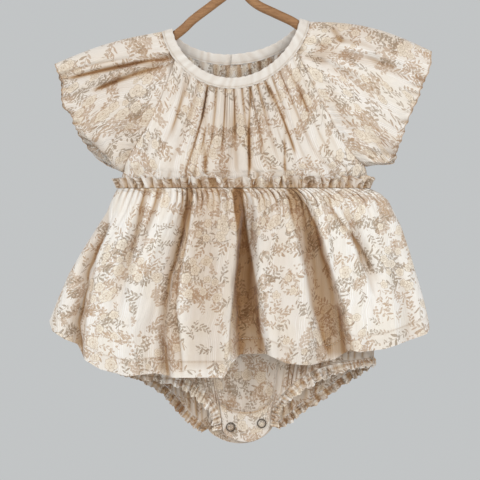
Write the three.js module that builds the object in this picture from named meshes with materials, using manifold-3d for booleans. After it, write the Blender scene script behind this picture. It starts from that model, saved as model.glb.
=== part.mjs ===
// Baby bubble romper with flutter sleeves and an overskirt, hanging on a small wooden hanger.
// Millimetres, +Z up, +X to the right as the romper is seen, -Y towards whoever looks at its front.
// The cloth is drawn in its own frame, with z = 0 at the height of the neck's shoulder points, and the
// whole group is then moved so that the origin is the inside top of the hanger's hook.
import * as THREE from 'three';
import { mergeVertices } from 'three/addons/utils/BufferGeometryUtils.js';
import Module from 'manifold-3d';

const wasm = await Module();
wasm.setup();

// Driving sizes
const CLOTH = 1.2;          // wall of one layer of double gauze with its folds
const TRIM = 1.0;           // wall of the gathered frills and leg bands
const GAP = 0.3;            // between two pieces at a seam
const WAIST_Z = -168;       // the waist seam
const BINDING = { width: 10.5, thick: 2.4, overlap: 9, step: 1.5 };
const FRILL = { height: 10.5, waves: 52, wave: 1.9, flare: 3.2, away: 2.3 };
const LEG_BAND = { waves: 26, wave: 1.1, fromSeam: 1.6 };
const SNAP = { outer: 4.75, inner: 3.6, thick: 1.2, round: 0.3 };
const HOOK = { wire: 1.6, radius: 18, x: -2, centreZ: 80, stemZ: 42 };
const ARM = { tall: 9.4, deep: 7 };

const COLOURS = { print: 0xe6dac8, plain: 0xf1ebe0, wood: 0xb9854f, steel: 0xb4b2ae, brass: 0x7d766a };

// Small helpers
const V = (x, y, z) => new THREE.Vector3(x, y, z);
const lerp = THREE.MathUtils.lerp;
const clamp = THREE.MathUtils.clamp;
const rad = THREE.MathUtils.degToRad;
const smooth = (low, high, x) => THREE.MathUtils.smoothstep(x, low, high);
const steps = (count) => Array.from({ length: count + 1 }, (_, i) => i / count);
const lens = (a, power = 3) => Math.sqrt(Math.max(0, 1 - Math.abs(2 * a - 1) ** power));
const crowd = (u, k = 0.6) => u - (k * Math.sin(2 * Math.PI * u)) / (2 * Math.PI);
const curveOf = (points) => new THREE.CatmullRomCurve3(points, false, 'centripetal');

// The value of a column of a table at some value of its first named column, on straight lines
function lookUp(rows, key, column, at) {
  const next = rows.findIndex((row) => row[key] >= at);
  if (next === 0) return rows[0][column];
  if (next < 0) return rows.at(-1)[column];
  const low = rows[next - 1];
  const high = rows[next];
  return lerp(low[column], high[column], (at - low[key]) / (high[key] - low[key]));
}

// Turns an even share into the share of a line, given as a function, that is even along its length
function evenly(line) {
  const fine = steps(400).map((share) => ({ share, at: line(share) }));
  let run = 0;
  const rows = fine.map(({ share, at }, i) => {
    run += i ? at.distanceTo(fine[i - 1].at) : 0;
    return { share, run };
  });
  return (part) => lookUp(rows, 'run', 'share', part * run);
}

// A mesh from points and triangles, turned so that its faces point out
function meshOf(name, points, triangles, colour, metalness = 0) {
  let volume = 0;
  for (const [i, j, k] of triangles) volume += points[i].dot(points[j].clone().cross(points[k]));
  const index = triangles.flatMap(([i, j, k]) => (volume < 0 ? [i, k, j] : [i, j, k]));
  const geometry = new THREE.BufferGeometry()
    .setAttribute('position', new THREE.Float32BufferAttribute(points.flatMap((p) => p.toArray()), 3))
    .setIndex(index);
  const roughness = metalness ? 0.4 : 0.9;
  const material = new THREE.MeshStandardMaterial({ color: colour, roughness, metalness });
  const mesh = new THREE.Mesh(geometry, material);
  mesh.name = name;
  return mesh;
}

// The outward direction at each point of a grid of cloth; ring is true where its columns close on themselves
function directions(grid, ring) {
  const rows = grid.length;
  const columns = grid[0].length;
  const at = (r, c) => grid[clamp(r, 0, rows - 1)][ring ? (c + columns) % columns : clamp(c, 0, columns - 1)];
  return grid.map((row, r) => row.map((_, c) => {
    const across = at(r, c + 1).clone().sub(at(r, c - 1));
    const down = at(r + 1, c).clone().sub(at(r - 1, c));
    return across.cross(down).normalize();
  }));
}

// The same cloth, moved out by a distance
function movedOut(grid, distance, ring = false) {
  const out = directions(grid, ring);
  return grid.map((row, r) => row.map((p, c) => p.clone().addScaledVector(out[r][c], distance)));
}

// A closed shell between two grids of the same size
function shell(name, outer, inner, colour, ring = false) {
  const rows = outer.length;
  const columns = outer[0].length;
  const points = [...outer.flat(), ...inner.flat()];
  const last = ring ? columns : columns - 1;
  const id = (r, c, side) => side * rows * columns + r * columns + (c % columns);
  const triangles = [];
  const quad = (a, b, c, d) => triangles.push([a, b, c], [a, c, d]);
  for (let r = 0; r < rows - 1; r += 1) {
    for (let c = 0; c < last; c += 1) {
      quad(id(r, c, 0), id(r + 1, c, 0), id(r + 1, c + 1, 0), id(r, c + 1, 0));
      quad(id(r, c, 1), id(r, c + 1, 1), id(r + 1, c + 1, 1), id(r + 1, c, 1));
    }
  }
  for (let c = 0; c < last; c += 1) {
    quad(id(0, c, 0), id(0, c + 1, 0), id(0, c + 1, 1), id(0, c, 1));
    quad(id(rows - 1, c, 1), id(rows - 1, c + 1, 1), id(rows - 1, c + 1, 0), id(rows - 1, c, 0));
  }
  if (!ring) {
    for (let r = 0; r < rows - 1; r += 1) {
      quad(id(r, 0, 1), id(r + 1, 0, 1), id(r + 1, 0, 0), id(r, 0, 0));
      quad(id(r, last, 0), id(r + 1, last, 0), id(r + 1, last, 1), id(r, last, 1));
    }
  }
  return meshOf(name, points, triangles, colour);
}

// A wall of cloth with the grid as its middle layer. A front (face -1) or back (face 1) stops at the
// side seams.
function wall(name, grid, colour, { thick = CLOTH, ring = false, face = 0 } = {}) {
  const [outer, inner] = [movedOut(grid, thick / 2, ring), movedOut(grid, -thick / 2, ring)];
  if (face) [outer, inner].flat(2).forEach((p) => p.setY(face * Math.max(GAP / 2, face * p.y)));
  return shell(name, outer, inner, colour, ring);
}

// A solid through a list of rings of points, with a flat end at each side
function loft(name, rings, colour, metalness = 0) {
  const around = rings[0].length;
  const points = rings.flat();
  const triangles = [];
  for (let r = 0; r < rings.length - 1; r += 1) {
    for (let i = 0; i < around; i += 1) {
      const a = r * around + i;
      const b = r * around + ((i + 1) % around);
      triangles.push([a, b, b + around], [a, b + around, a + around]);
    }
  }
  const end = (rings.length - 1) * around;
  for (let i = 1; i < around - 1; i += 1) triangles.push([0, i + 1, i], [end, end + i, end + i + 1]);
  return meshOf(name, points, triangles, colour, metalness);
}

// A round or flattened bar in the plane y = 0 along a curve; reach(t) scales it along its length
function bar(name, curve, count, sides, tall, deep, colour, reach = () => 1, metalness = 0) {
  const rings = steps(count).map((t) => {
    const centre = curve.getPoint(t);
    const along = curve.getTangent(t);
    const up = V(-along.z, 0, along.x);
    return steps(sides).slice(1).map((turn) => {
      const angle = 2 * Math.PI * turn;
      return centre.clone()
        .addScaledVector(up, (tall / 2) * reach(t) * Math.cos(angle))
        .add(V(0, (deep / 2) * reach(t) * Math.sin(angle), 0));
    });
  });
  return loft(name, rings, colour, metalness);
}

// A closed mesh as a solid, and one solid from several
function solidOf(mesh) {
  const geometry = mesh.geometry.clone();
  geometry.deleteAttribute('normal');
  geometry.deleteAttribute('uv');
  const merged = mergeVertices(geometry, 1e-4);
  return new wasm.Manifold(new wasm.Mesh({
    numProp: 3,
    vertProperties: new Float32Array(merged.attributes.position.array),
    triVerts: new Uint32Array(merged.index.array),
  }));
}
function joined(name, meshes, colour) {
  const result = meshes.map(solidOf).reduce((sum, solid) => sum.add(solid)).getMesh();
  const points = [];
  for (let i = 0; i < result.vertProperties.length; i += result.numProp) {
    points.push(V(...result.vertProperties.subarray(i, i + 3)));
  }
  const triangles = [];
  for (let i = 0; i < result.triVerts.length; i += 3) triangles.push([...result.triVerts.subarray(i, i + 3)]);
  return meshOf(name, points, triangles, colour);
}

// The neck: a flattened ring, lower in front than behind, with its left shoulder point a little lower.
// turn is 0 at the right shoulder point, 90 at the back, 180 at the left and 270 at the front.
const NECK = {
  midX: -4, halfWidth: 69, leftZ: -9, rightZ: 1,
  frontDrop: 59, backDrop: 33, frontDepth: 14, backDepth: 11, bend: 1.3, blunt: 0.55, stand: 0.25,
};
function neckRing(turn) {
  const c = Math.cos(rad(turn));
  const s = Math.sin(rad(turn));
  const drop = s < 0 ? NECK.frontDrop : NECK.backDrop;
  const depth = s < 0 ? -NECK.frontDepth : NECK.backDepth;
  const shoulder = lerp(NECK.rightZ, NECK.leftZ, (1 - c) / 2);
  const side = Math.abs(s);
  return V(NECK.midX + NECK.halfWidth * c, depth * side ** NECK.blunt, shoulder - drop * side ** NECK.bend);
}
const neckDown = (turn) =>
  V(Math.cos(rad(turn)), 0, -Math.abs(Math.sin(rad(turn))) - NECK.stand).normalize();
const neckSeam = (turn) => neckRing(turn).addScaledVector(neckDown(turn), BINDING.width / 2 + GAP);
const RAGLAN_TURN = { frontLeft: 214, frontRight: 326, backLeft: 144, backRight: 36 };

// Folded bias strip round the neck. Its ends lap at the back of the neck.
function neckBinding() {
  const half = BINDING.width / 2;
  const lap = BINDING.overlap / 2;
  const lapTurn = THREE.MathUtils.radToDeg(lap / NECK.halfWidth);
  const rings = steps(66).map((t) => {
    const turn = lerp(90 - lapTurn, 450 + lapTurn, t);
    const along = neckRing(turn + 0.5).sub(neckRing(turn - 0.5)).normalize();
    const down = neckDown(turn);
    const out = down.clone().cross(along).normalize();
    const lapped = BINDING.step * (1 - smooth(0, 0.07, t)) - BINDING.step * smooth(0.93, 1, t);
    const centre = neckRing(turn).addScaledVector(out, lapped);
    return [[-1, 0], [-0.72, 0.5], [0.72, 0.5], [1, 0], [0.72, -0.5], [-0.72, -0.5]].map(([w, h]) =>
      centre.clone().addScaledVector(down, w * half).addScaledVector(out, h * BINDING.thick));
  });
  return loft('neck_binding', rings, COLOURS.plain);
}

// Raglan seams from the neck down to the underarm, the same on the front and the back but for their depth
const UNDERARM = { left: { x: -117, z: -152 }, right: { x: 127, z: -146 } };
const RAGLAN = {
  left: [{ x: -79, z: -77, deep: 12 }, { x: -93, z: -107, deep: 12 }, { x: -105, z: -126, deep: 10 },
    { x: -115, z: -143, deep: 6.5 }],
  right: [{ x: 74, z: -66, deep: 12 }, { x: 90, z: -97, deep: 12 }, { x: 104, z: -123, deep: 10 },
    { x: 118, z: -139, deep: 6.5 }],
};
const BACK_SHARE = 0.8; // the back lies this much as far behind as the front lies before
function raglan(side, face) {
  const turn = RAGLAN_TURN[(face < 0 ? 'front' : 'back') + (side < 0 ? 'Left' : 'Right')];
  const key = side < 0 ? 'left' : 'right';
  const share = face < 0 ? -1 : BACK_SHARE;
  return curveOf([
    neckSeam(turn),
    ...RAGLAN[key].map((row) => V(row.x, row.deep * share, row.z)),
    V(UNDERARM[key].x, face * GAP, UNDERARM[key].z),
  ]);
}

// The waist ring, as a share a of the way from the left side to the right
const WAIST = { left: -122, right: 129, front: 17, back: 13 };
function waistPoint(a, face, inward = 0) {
  const depth = (face < 0 ? WAIST.front : WAIST.back) - inward;
  const left = WAIST.left + inward;
  const right = WAIST.right - inward;
  return V(lerp(left, right, a), face * (GAP / 2 + depth * lens(a)), WAIST_Z);
}

// Small gathers that fade away from a seam: waves of cloth along u, tallest where away is 0
const GATHERS = { neckFront: 16, neckBack: 11, skirtFront: 18, skirtBack: 14, height: 1.7 };
const gather = (u, away, waves, reach) =>
  GATHERS.height * Math.cos(2 * Math.PI * (waves * u + 0.35 * Math.sin(7 * u + 2))) * Math.exp(-away / reach);

// Front and back of the bodice: gathered on to the neck and down to the waist, between the raglan seams
const BODICE_DEPTH = [{ v: 0, front: 14, back: 11 }, { v: 0.3, front: 18, back: 13.5 },
  { v: 0.7, front: 18.8, back: 14.5 }, { v: 1, front: 17, back: 13 }];
const SIDE_START = 0.88; // the share of the bodice's height at which the armhole gives way to the side seam
function bodice(face) {
  const left = raglan(-1, face);
  const right = raglan(1, face);
  const [from, to] = face < 0 ? [RAGLAN_TURN.frontLeft, RAGLAN_TURN.frontRight]
    : [RAGLAN_TURN.backLeft, RAGLAN_TURN.backRight];
  const bottom = (a) => waistPoint(a, face).setZ(WAIST_Z + GAP);
  const edge = (side, v) => {
    const seam = side < 0 ? left : right;
    if (v <= SIDE_START) return seam.getPoint(v / SIDE_START);
    return seam.getPoint(1).lerp(bottom(side < 0 ? 0 : 1), (v - SIDE_START) / (1 - SIDE_START));
  };
  return (u, v) => {
    const a = crowd(u, 0.3);
    const top = neckSeam(lerp(from, to, u));
    const across = edge(-1, v).lerp(edge(1, v), a);
    const corners = edge(-1, 0).lerp(edge(1, 0), a).lerp(edge(-1, 1).lerp(edge(1, 1), a), v);
    const point = top.clone().lerp(bottom(a), v).add(across).sub(corners);
    const depth = face * lookUp(BODICE_DEPTH, 'v', face < 0 ? 'front' : 'back', v);
    point.y = lerp(top.y, lerp(across.y, depth, lens(a)), smooth(0, 0.3, v));
    const loose = Math.sin(Math.PI * clamp(u, 0, 1)) ** 0.5;
    const waves = face < 0 ? GATHERS.neckFront : GATHERS.neckBack;
    point.y += face * loose * gather(u, v, waves, 0.75) * (1 - 0.6 * v);
    return point;
  };
}

// Flutter sleeves, lofted from the armhole to the cuff. Rows go up the cuff from the underarm to its tip.
const CUFF = {
  left: [{ x: -126, z: -148, back: 0 }, { x: -130, z: -142, back: 6 }, { x: -137, z: -133, back: 9 },
    { x: -147, z: -123, back: 8 }, { x: -159, z: -115, back: 3 }, { x: -165, z: -106, back: 0 },
    { x: -170, z: -94, back: 0 }, { x: -176, z: -87, back: 1 }, { x: -179, z: -74, back: 2 },
    { x: -179, z: -61, back: 2 }, { x: -183, z: -51, back: 1 }, { x: -187, z: -43, back: 0 }],
  right: [{ x: 140, z: -143.5, back: 0 }, { x: 146, z: -143, back: 2 }, { x: 152, z: -141, back: 3 },
    { x: 157, z: -130, back: 2 }, { x: 163, z: -119, back: -1 }, { x: 165, z: -108, back: 0 },
    { x: 171, z: -95, back: 1 }, { x: 177, z: -82, back: 0 }, { x: 181, z: -71, back: 1 },
    { x: 187, z: -58, back: 0 }, { x: 191, z: -44, back: 0 }, { x: 193, z: -30, back: 0 }],
};
const SLEEVE = {
  left: { rise: 4.5, puff: 5, folds: [
    { head: 0.41, cuff: 0.43, depth: 5.5, below: 0.03, above: 0.018, from: 0, to: 1.3 },
    { head: 0.385, cuff: 0.34, depth: 5, below: 0.03, above: 0.02, from: 0, to: 0.75 },
    { head: 0.30, cuff: 0.22, depth: -2.5, below: 0.06, above: 0.05, from: 0.1, to: 1.2 }] },
  right: { rise: 9, puff: 6, folds: [
    { head: 0.42, cuff: 0.40, depth: 4.5, below: 0.025, above: 0.02, from: 0.15, to: 1.3 },
    { head: 0.40, cuff: 0.30, depth: 4, below: 0.03, above: 0.02, from: 0, to: 0.55 },
    { head: 0.12, cuff: 0.10, depth: 3.5, below: 0.03, above: 0.03, from: 0.4, to: 1.3 }] },
};
const CUFF_FORM = { depth: 9, waves: 9, wave: 1.8 };
const SEAM_STEP = 1.1; // from the middle of one cloth wall to the next at an armhole
const HEAD_SHARE = 0.4; // of each half of the armhole, up from the underarm, the share that is raglan seam
function sleeve(side, columns, rows) {
  const key = side < 0 ? 'left' : 'right';
  const front = raglan(side, -1);
  const back = raglan(side, 1);
  const shoulder = side < 0 ? 180 : 0;
  const turnFront = side < 0 ? RAGLAN_TURN.frontLeft : RAGLAN_TURN.frontRight - 360;
  const turnBack = side < 0 ? RAGLAN_TURN.backLeft : RAGLAN_TURN.backRight;
  const head = (s) => {
    const up = s < 0.5 ? 2 * s : 2 - 2 * s;
    if (up <= 2 * HEAD_SHARE) return (s < 0.5 ? front : back).getPoint(1 - up / (2 * HEAD_SHARE));
    const share = (up - 2 * HEAD_SHARE) / (1 - 2 * HEAD_SHARE);
    return neckSeam(lerp(s < 0.5 ? turnFront : turnBack, shoulder, share));
  };
  const frontEdge = curveOf(CUFF[key].map((row) => V(row.x, 0, row.z)));
  const backEdge = curveOf(CUFF[key].map((row) => V(row.x + side * row.back, 0, row.z - row.back * 0.3)));
  const cuff = (s) => {
    const up = s < 0.5 ? 2 * s : 2 - 2 * s;
    const point = (s < 0.5 ? frontEdge : backEdge).getPoint(up);
    point.y = (s < 0.5 ? -1 : BACK_SHARE) * CUFF_FORM.depth * lens(up, 9);
    return point;
  };
  const start = (s) => {
    const seam = head(s);
    const along = head(Math.min(s + 0.004, 1)).sub(head(Math.max(s - 0.004, 0))).normalize();
    const away = cuff(s).sub(seam).projectOnPlane(along).normalize();
    return seam.addScaledVector(away, SEAM_STEP);
  };
  const { rise, puff, folds } = SLEEVE[key];
  return steps(rows).map((t) => steps(columns).slice(0, -1).map((s) => {
    const point = start(s).lerp(cuff(s), t);
    const full = Math.sin(Math.PI * t);
    const face = s < 0.5 ? -1 : BACK_SHARE;
    const up = s < 0.5 ? 2 * s : 2 - 2 * s;
    point.z += rise * full * Math.exp(-(((s - 0.5) / 0.09) ** 2));
    point.y += face * puff * full * lens(up, 6);
    for (const fold of folds) {
      const off = s - lerp(fold.head, fold.cuff, t);
      const width = (off < 0 ? fold.below : fold.above) * lerp(0.7, 1, t);
      const shown = smooth(fold.from - 0.15, fold.from + 0.1, t) * (1 - smooth(fold.to - 0.25, fold.to, t));
      point.y += fold.depth * shown * Math.exp(-((off / width) ** 2));
    }
    const wave = CUFF_FORM.wave * Math.sin(2 * Math.PI * CUFF_FORM.waves * s + 1) * t ** 5 * lens(up, 4);
    point.y += wave;
    point.x += side * 0.45 * wave;
    return point;
  }));
}

// Overskirt. Its sides by the drop below the waist, its hem by the share of the way across, and its folds.
const SKIRT_SIDES = [
  { drop: 0, left: -123, right: 130 }, { drop: 5, left: -126, right: 141 },
  { drop: 12, left: -129, right: 149 }, { drop: 24, left: -134, right: 155 },
  { drop: 38, left: -143, right: 162 }, { drop: 60, left: -157, right: 169.5 },
  { drop: 85, left: -171.5, right: 177 }, { drop: 110, left: -182.5, right: 184.5 },
  { drop: 134, left: -192, right: 190 }, { drop: 160, left: -193, right: 192.5 },
];
const SKIRT_HEM = [
  { across: 0, drop: 133 }, { across: 0.012, drop: 143 }, { across: 0.045, drop: 151 },
  { across: 0.078, drop: 156 }, { across: 0.1, drop: 171 }, { across: 0.14, drop: 180 },
  { across: 0.21, drop: 187 }, { across: 0.28, drop: 184.5 }, { across: 0.33, drop: 188 },
  { across: 0.46, drop: 188 }, { across: 0.478, drop: 174 }, { across: 0.5, drop: 166 },
  { across: 0.57, drop: 165 }, { across: 0.62, drop: 174 }, { across: 0.68, drop: 176 },
  { across: 0.745, drop: 171 }, { across: 0.785, drop: 161 }, { across: 0.81, drop: 163 },
  { across: 0.875, drop: 160 }, { across: 0.95, drop: 151 }, { across: 0.99, drop: 146 },
  { across: 1, drop: 141 },
];
const BACK_HEM = [
  { across: 0, drop: 133 }, { across: 0.06, drop: 149 }, { across: 0.25, drop: 168 },
  { across: 0.5, drop: 176 }, { across: 0.75, drop: 168 }, { across: 0.94, drop: 152 },
  { across: 1, drop: 141 },
];
const FRONT_FOLDS = [
  { top: 0.01, hem: 0.086, depth: 11, left: 0.045, right: 0.012, from: 0.1, to: 2 },
  { top: 0.1, hem: 0.195, depth: 9, left: 0.025, right: 0.03, from: 0, to: 0.85 },
  { top: 0.143, hem: 0.185, depth: 5, left: 0.02, right: 0.02, from: 0, to: 0.5 },
  { top: 0.27, hem: 0.292, depth: 12, left: 0.065, right: 0.028, from: -0.04, to: 2 },
  { top: 0.472, hem: 0.52, depth: 17, left: 0.03, right: 0.05, from: -0.04, to: 2 },
  { top: 0.69, hem: 0.757, depth: 13, left: 0.06, right: 0.028, from: -0.04, to: 2 },
  { top: 0.8, hem: 0.905, depth: 9, left: 0.018, right: 0.035, from: 0, to: 0.8 },
  { top: 0.94, hem: 0.95, depth: 6, left: 0.03, right: 0.03, from: 0.3, to: 2 },
];
const BACK_FOLDS = [
  { top: 0.07, hem: 0.09, depth: 6, left: 0.035, right: 0.02, from: 0.1, to: 2 },
  { top: 0.2, hem: 0.17, depth: 8, left: 0.03, right: 0.045, from: -0.04, to: 2 },
  { top: 0.36, hem: 0.34, depth: 11, left: 0.03, right: 0.05, from: -0.04, to: 2 },
  { top: 0.54, hem: 0.53, depth: 12, left: 0.045, right: 0.03, from: -0.04, to: 2 },
  { top: 0.7, hem: 0.73, depth: 10, left: 0.05, right: 0.03, from: -0.04, to: 2 },
  { top: 0.86, hem: 0.89, depth: 7, left: 0.025, right: 0.04, from: -0.04, to: 2 },
];
const FOLD_BLUNT = 2.6; // how flat the floor of a fold is
const SKIRT_DEPTH = [{ v: 0, front: 18.9, back: 14.9 }, { v: 0.12, front: 23, back: 18 },
  { v: 0.3, front: 29, back: 22 }, { v: 0.6, front: 32, back: 25 }, { v: 1, front: 34, back: 27 }];
const skirtPoint = (face) => (a, v) => {
  const folds = face < 0 ? FRONT_FOLDS : BACK_FOLDS;
  const drop = v * lookUp(face < 0 ? SKIRT_HEM : BACK_HEM, 'across', 'drop', a);
  const x = lerp(lookUp(SKIRT_SIDES, 'drop', 'left', drop), lookUp(SKIRT_SIDES, 'drop', 'right', drop), a);
  const edge = lens(a, 8);
  let depth = lookUp(SKIRT_DEPTH, 'v', face < 0 ? 'front' : 'back', v) * lens(a);
  for (const fold of folds) {
    const off = a - lerp(fold.top, fold.hem, v ** 0.8);
    const width = (off < 0 ? fold.left : fold.right) * lerp(0.55, 1, v);
    const shown = smooth(fold.from, fold.from + 0.42, v) * (1 - smooth(fold.to - 0.4, fold.to, v));
    depth -= fold.depth * shown * edge * Math.exp(-(Math.abs(off / width) ** FOLD_BLUNT));
  }
  const waves = face < 0 ? GATHERS.skirtFront : GATHERS.skirtBack;
  depth += gather(a, v, waves, 0.16) * edge * smooth(-0.02, 0.06, v);
  return V(x, face * (GAP / 2 + depth), WAIST_Z - GAP - drop);
};
function skirt(face, columns, levels) {
  const point = skirtPoint(face);
  const across = steps(columns).map(evenly((a) => point(a, 0.6)));
  return levels.map((v) => across.map((a) => point(a, v)));
}

// Frill that stands up round the waist above the seam
function waistFrill() {
  const count = FRILL.waves * 4;
  const ring = (share) => steps(count).slice(0, -1).map((s, i) => {
    const face = s < 0.5 ? -1 : 1;
    const a = s < 0.5 ? crowd(2 * s, 0.3) : crowd(2 - 2 * s, 0.3);
    const point = waistPoint(a, face, -FRILL.away);
    const out = V((a - 0.5) * 2, face * lens(a), 0).normalize();
    const phase = (Math.PI / 2) * i + 0.5 * Math.sin(i / 9);
    const push = lerp(0.2, FRILL.flare, share) + lerp(0.35, FRILL.wave, share) * Math.sin(phase);
    point.addScaledVector(out, push);
    point.z = WAIST_Z + GAP + FRILL.height * share + share * 0.9 * Math.sin(i / 5.3);
    return point;
  });
  return wall('waist_frill', [ring(1), ring(0)], COLOURS.print, { thick: TRIM, ring: true });
}

// Leg openings. Each row goes from the front of the crotch round the hip to its back: the seam of the
// panel, the free edge of the gathered band, and the depth.
const LEG = {
  left: [
    { x: -17.5, z: -411, outX: -27, outZ: -412, deep: -3.4 },
    { x: -20, z: -396, outX: -28.5, outZ: -400, deep: -5 },
    { x: -32, z: -375, outX: -38, outZ: -385, deep: -8 },
    { x: -46, z: -363, outX: -51, outZ: -374, deep: -10 },
    { x: -63, z: -356, outX: -65, outZ: -366, deep: -11 },
    { x: -94, z: -352, outX: -95, outZ: -360.5, deep: -10 },
    { x: -113, z: -348.5, outX: -114, outZ: -357, deep: -6 },
    { x: -119, z: -346, outX: -121, outZ: -355, deep: 0 },
    { x: -112, z: -349, outX: -115, outZ: -357.5, deep: 5 },
    { x: -98, z: -354, outX: -102, outZ: -362, deep: 9 },
    { x: -76, z: -367, outX: -81, outZ: -375, deep: 11 },
    { x: -63, z: -380, outX: -69, outZ: -387, deep: 10 },
    { x: -53, z: -392, outX: -59, outZ: -399, deep: 8 },
    { x: -42, z: -401, outX: -47, outZ: -409, deep: 5.5 },
    { x: -32, z: -410, outX: -39, outZ: -414, deep: 2.4 },
  ],
  right: [
    { x: 30, z: -407, outX: 38.5, outZ: -408, deep: -3.4 },
    { x: 32.5, z: -391, outX: 40, outZ: -394, deep: -5 },
    { x: 41, z: -377, outX: 49, outZ: -382, deep: -8 },
    { x: 57, z: -361, outX: 63, outZ: -372, deep: -10 },
    { x: 84, z: -347, outX: 88, outZ: -358, deep: -11 },
    { x: 110, z: -341, outX: 112, outZ: -350, deep: -10 },
    { x: 127, z: -338.5, outX: 130, outZ: -346.5, deep: -7.5 },
    { x: 134.5, z: -337.5, outX: 137, outZ: -345.5, deep: 0 },
    { x: 128, z: -342, outX: 131, outZ: -350, deep: 6.5 },
    { x: 117, z: -349, outX: 121, outZ: -357, deep: 9 },
    { x: 102, z: -359, outX: 107, outZ: -366, deep: 11 },
    { x: 79, z: -375, outX: 84, outZ: -382, deep: 10 },
    { x: 61, z: -386, outX: 66, outZ: -393, deep: 8 },
    { x: 48, z: -396.5, outX: 52, outZ: -404, deep: 5.5 },
    { x: 33, z: -407, outX: 40, outZ: -411, deep: 2.4 },
  ],
};
const HIP_ROW = 7; // the row of LEG at the hip
const CROTCH = { frontZ: -423, frontDeep: -2.2, backZ: -425, backDeep: 0.9 };
const legSeam = (side) => curveOf(LEG[side].map((row) => V(row.x, row.deep, row.z)));
const legEdge = (side) => curveOf(LEG[side].map((row) => V(row.outX, row.deep, row.outZ)));
function legBand(side) {
  const seam = legSeam(side);
  const edge = legEdge(side);
  const count = LEG_BAND.waves * 4;
  const grid = [0, 1].map((share) => steps(count).map((q, i) => {
    const inner = seam.getPoint(q);
    const outer = edge.getPoint(q);
    const along = seam.getTangent(q);
    const down = outer.clone().sub(inner);
    const out = along.clone().cross(down).normalize();
    const start = LEG_BAND.fromSeam / down.length();
    const wave = Math.sin((Math.PI / 2) * i + 0.7 * Math.sin(i / 7));
    return inner.lerp(outer, lerp(start, 1, share) + 0.05 * wave * share)
      .addScaledVector(out, LEG_BAND.wave * lerp(0.5, 1, share) * wave);
  }));
  return wall(`leg_band_${side}`, grid, COLOURS.print, { thick: TRIM });
}

// Bloomers under the skirt: front and back panels from the waist to the leg seams and the crotch
const BLOOMER = { inward: 1.9, hip: 4, ripple: 1.6, ripples: 9, legShare: 13 / 36 };
const BLOOMER_DEPTH = [{ v: 0, front: 15.1, back: 11.1 }, { v: 0.12, front: 10, back: 8 },
  { v: 0.5, front: 8.5, back: 7.5 }, { v: 1, front: 11, back: 10 }];
function bloomer(face) {
  const left = legSeam('left');
  const right = legSeam('right');
  const hip = HIP_ROW / (LEG.left.length - 1);
  const crotch = face < 0 ? 0 : 1;
  const [leftShare, rightShare] = [left, right].map((seam) =>
    evenly((share) => seam.getPoint(lerp(hip, crotch, share)).multiply(V(1, 0, 0.6))));
  const bottom = (u) => {
    if (u < BLOOMER.legShare) return left.getPoint(lerp(hip, crotch, leftShare(u / BLOOMER.legShare)));
    if (u > 1 - BLOOMER.legShare) {
      return right.getPoint(lerp(hip, crotch, rightShare((1 - u) / BLOOMER.legShare)));
    }
    const share = (u - BLOOMER.legShare) / (1 - 2 * BLOOMER.legShare);
    const arch = Math.sin(Math.PI * share) ** 0.6;
    const point = left.getPoint(crotch).lerp(right.getPoint(crotch), share);
    point.z = lerp(point.z, face < 0 ? CROTCH.frontZ : CROTCH.backZ, arch);
    point.y = lerp(point.y, face < 0 ? CROTCH.frontDeep : CROTCH.backDeep, arch);
    return point;
  };
  return (u, v) => {
    const a = crowd(u, 0.5);
    const low = bottom(u);
    const point = waistPoint(a, face, BLOOMER.inward).setZ(WAIST_Z - 2 * GAP).lerp(low, v);
    const side = Math.abs(2 * u - 1);
    point.x += Math.sign(u - 0.5) * BLOOMER.hip * Math.sin(Math.PI * v) * side ** 4;
    const depth = face * (GAP / 2 + lookUp(BLOOMER_DEPTH, 'v', face < 0 ? 'front' : 'back', v) * lens(a));
    const waves = Math.cos(2 * Math.PI * BLOOMER.ripples * u);
    const ripple = BLOOMER.ripple * Math.sin(Math.PI * v) * (1 - v) * lens(a) * waves;
    point.y = lerp(depth, low.y, smooth(0.5, 1, v)) + face * ripple;
    return point;
  };
}

// Points on a panel at shares across and down, and a strip of cloth on part of such a grid, moved out
const gridOf = (panel, across, down) => down.map((v) => across.map((u) => panel(u, v)));
function stripOn(name, grid, face, rows, columns) {
  const layer = (distance) =>
    movedOut(grid, face * distance).slice(...rows).map((row) => row.slice(...columns));
  return shell(name, layer(1.5 * CLOTH + GAP), layer(0.5 * CLOTH + GAP), COLOURS.print);
}

// Ring snap: an open ring that lies flat on the placket
const SNAPS = [{ name: 'snap_left', x: -9.3, z: -408 }, { name: 'snap_right', x: 21.8, z: -404.3 }];
function snapRing({ name, x, z }, placket) {
  const [seat] = new THREE.Raycaster(V(x, -100, z), V(0, 1, 0)).intersectObject(placket);
  const half = SNAP.thick / 2;
  const profile = [
    [SNAP.inner, -half], [SNAP.outer, -half], [SNAP.outer, half * 0.6], [SNAP.outer - SNAP.round, half],
    [SNAP.inner + SNAP.round, half], [SNAP.inner, half * 0.6], [SNAP.inner, -half],
  ];
  const geometry = new THREE.LatheGeometry(profile.map(([r, h]) => new THREE.Vector2(r, h)), 12);
  geometry.deleteAttribute('uv');
  geometry.deleteAttribute('normal');
  const ring = new THREE.Mesh(
    mergeVertices(geometry, 1e-3),
    new THREE.MeshStandardMaterial({ color: COLOURS.brass, roughness: 0.4, metalness: 0.9 }),
  );
  ring.name = name;
  ring.quaternion.setFromUnitVectors(V(0, 1, 0), seat.face.normal);
  ring.position.copy(seat.point).addScaledVector(seat.face.normal, GAP + half);
  return ring;
}

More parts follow.
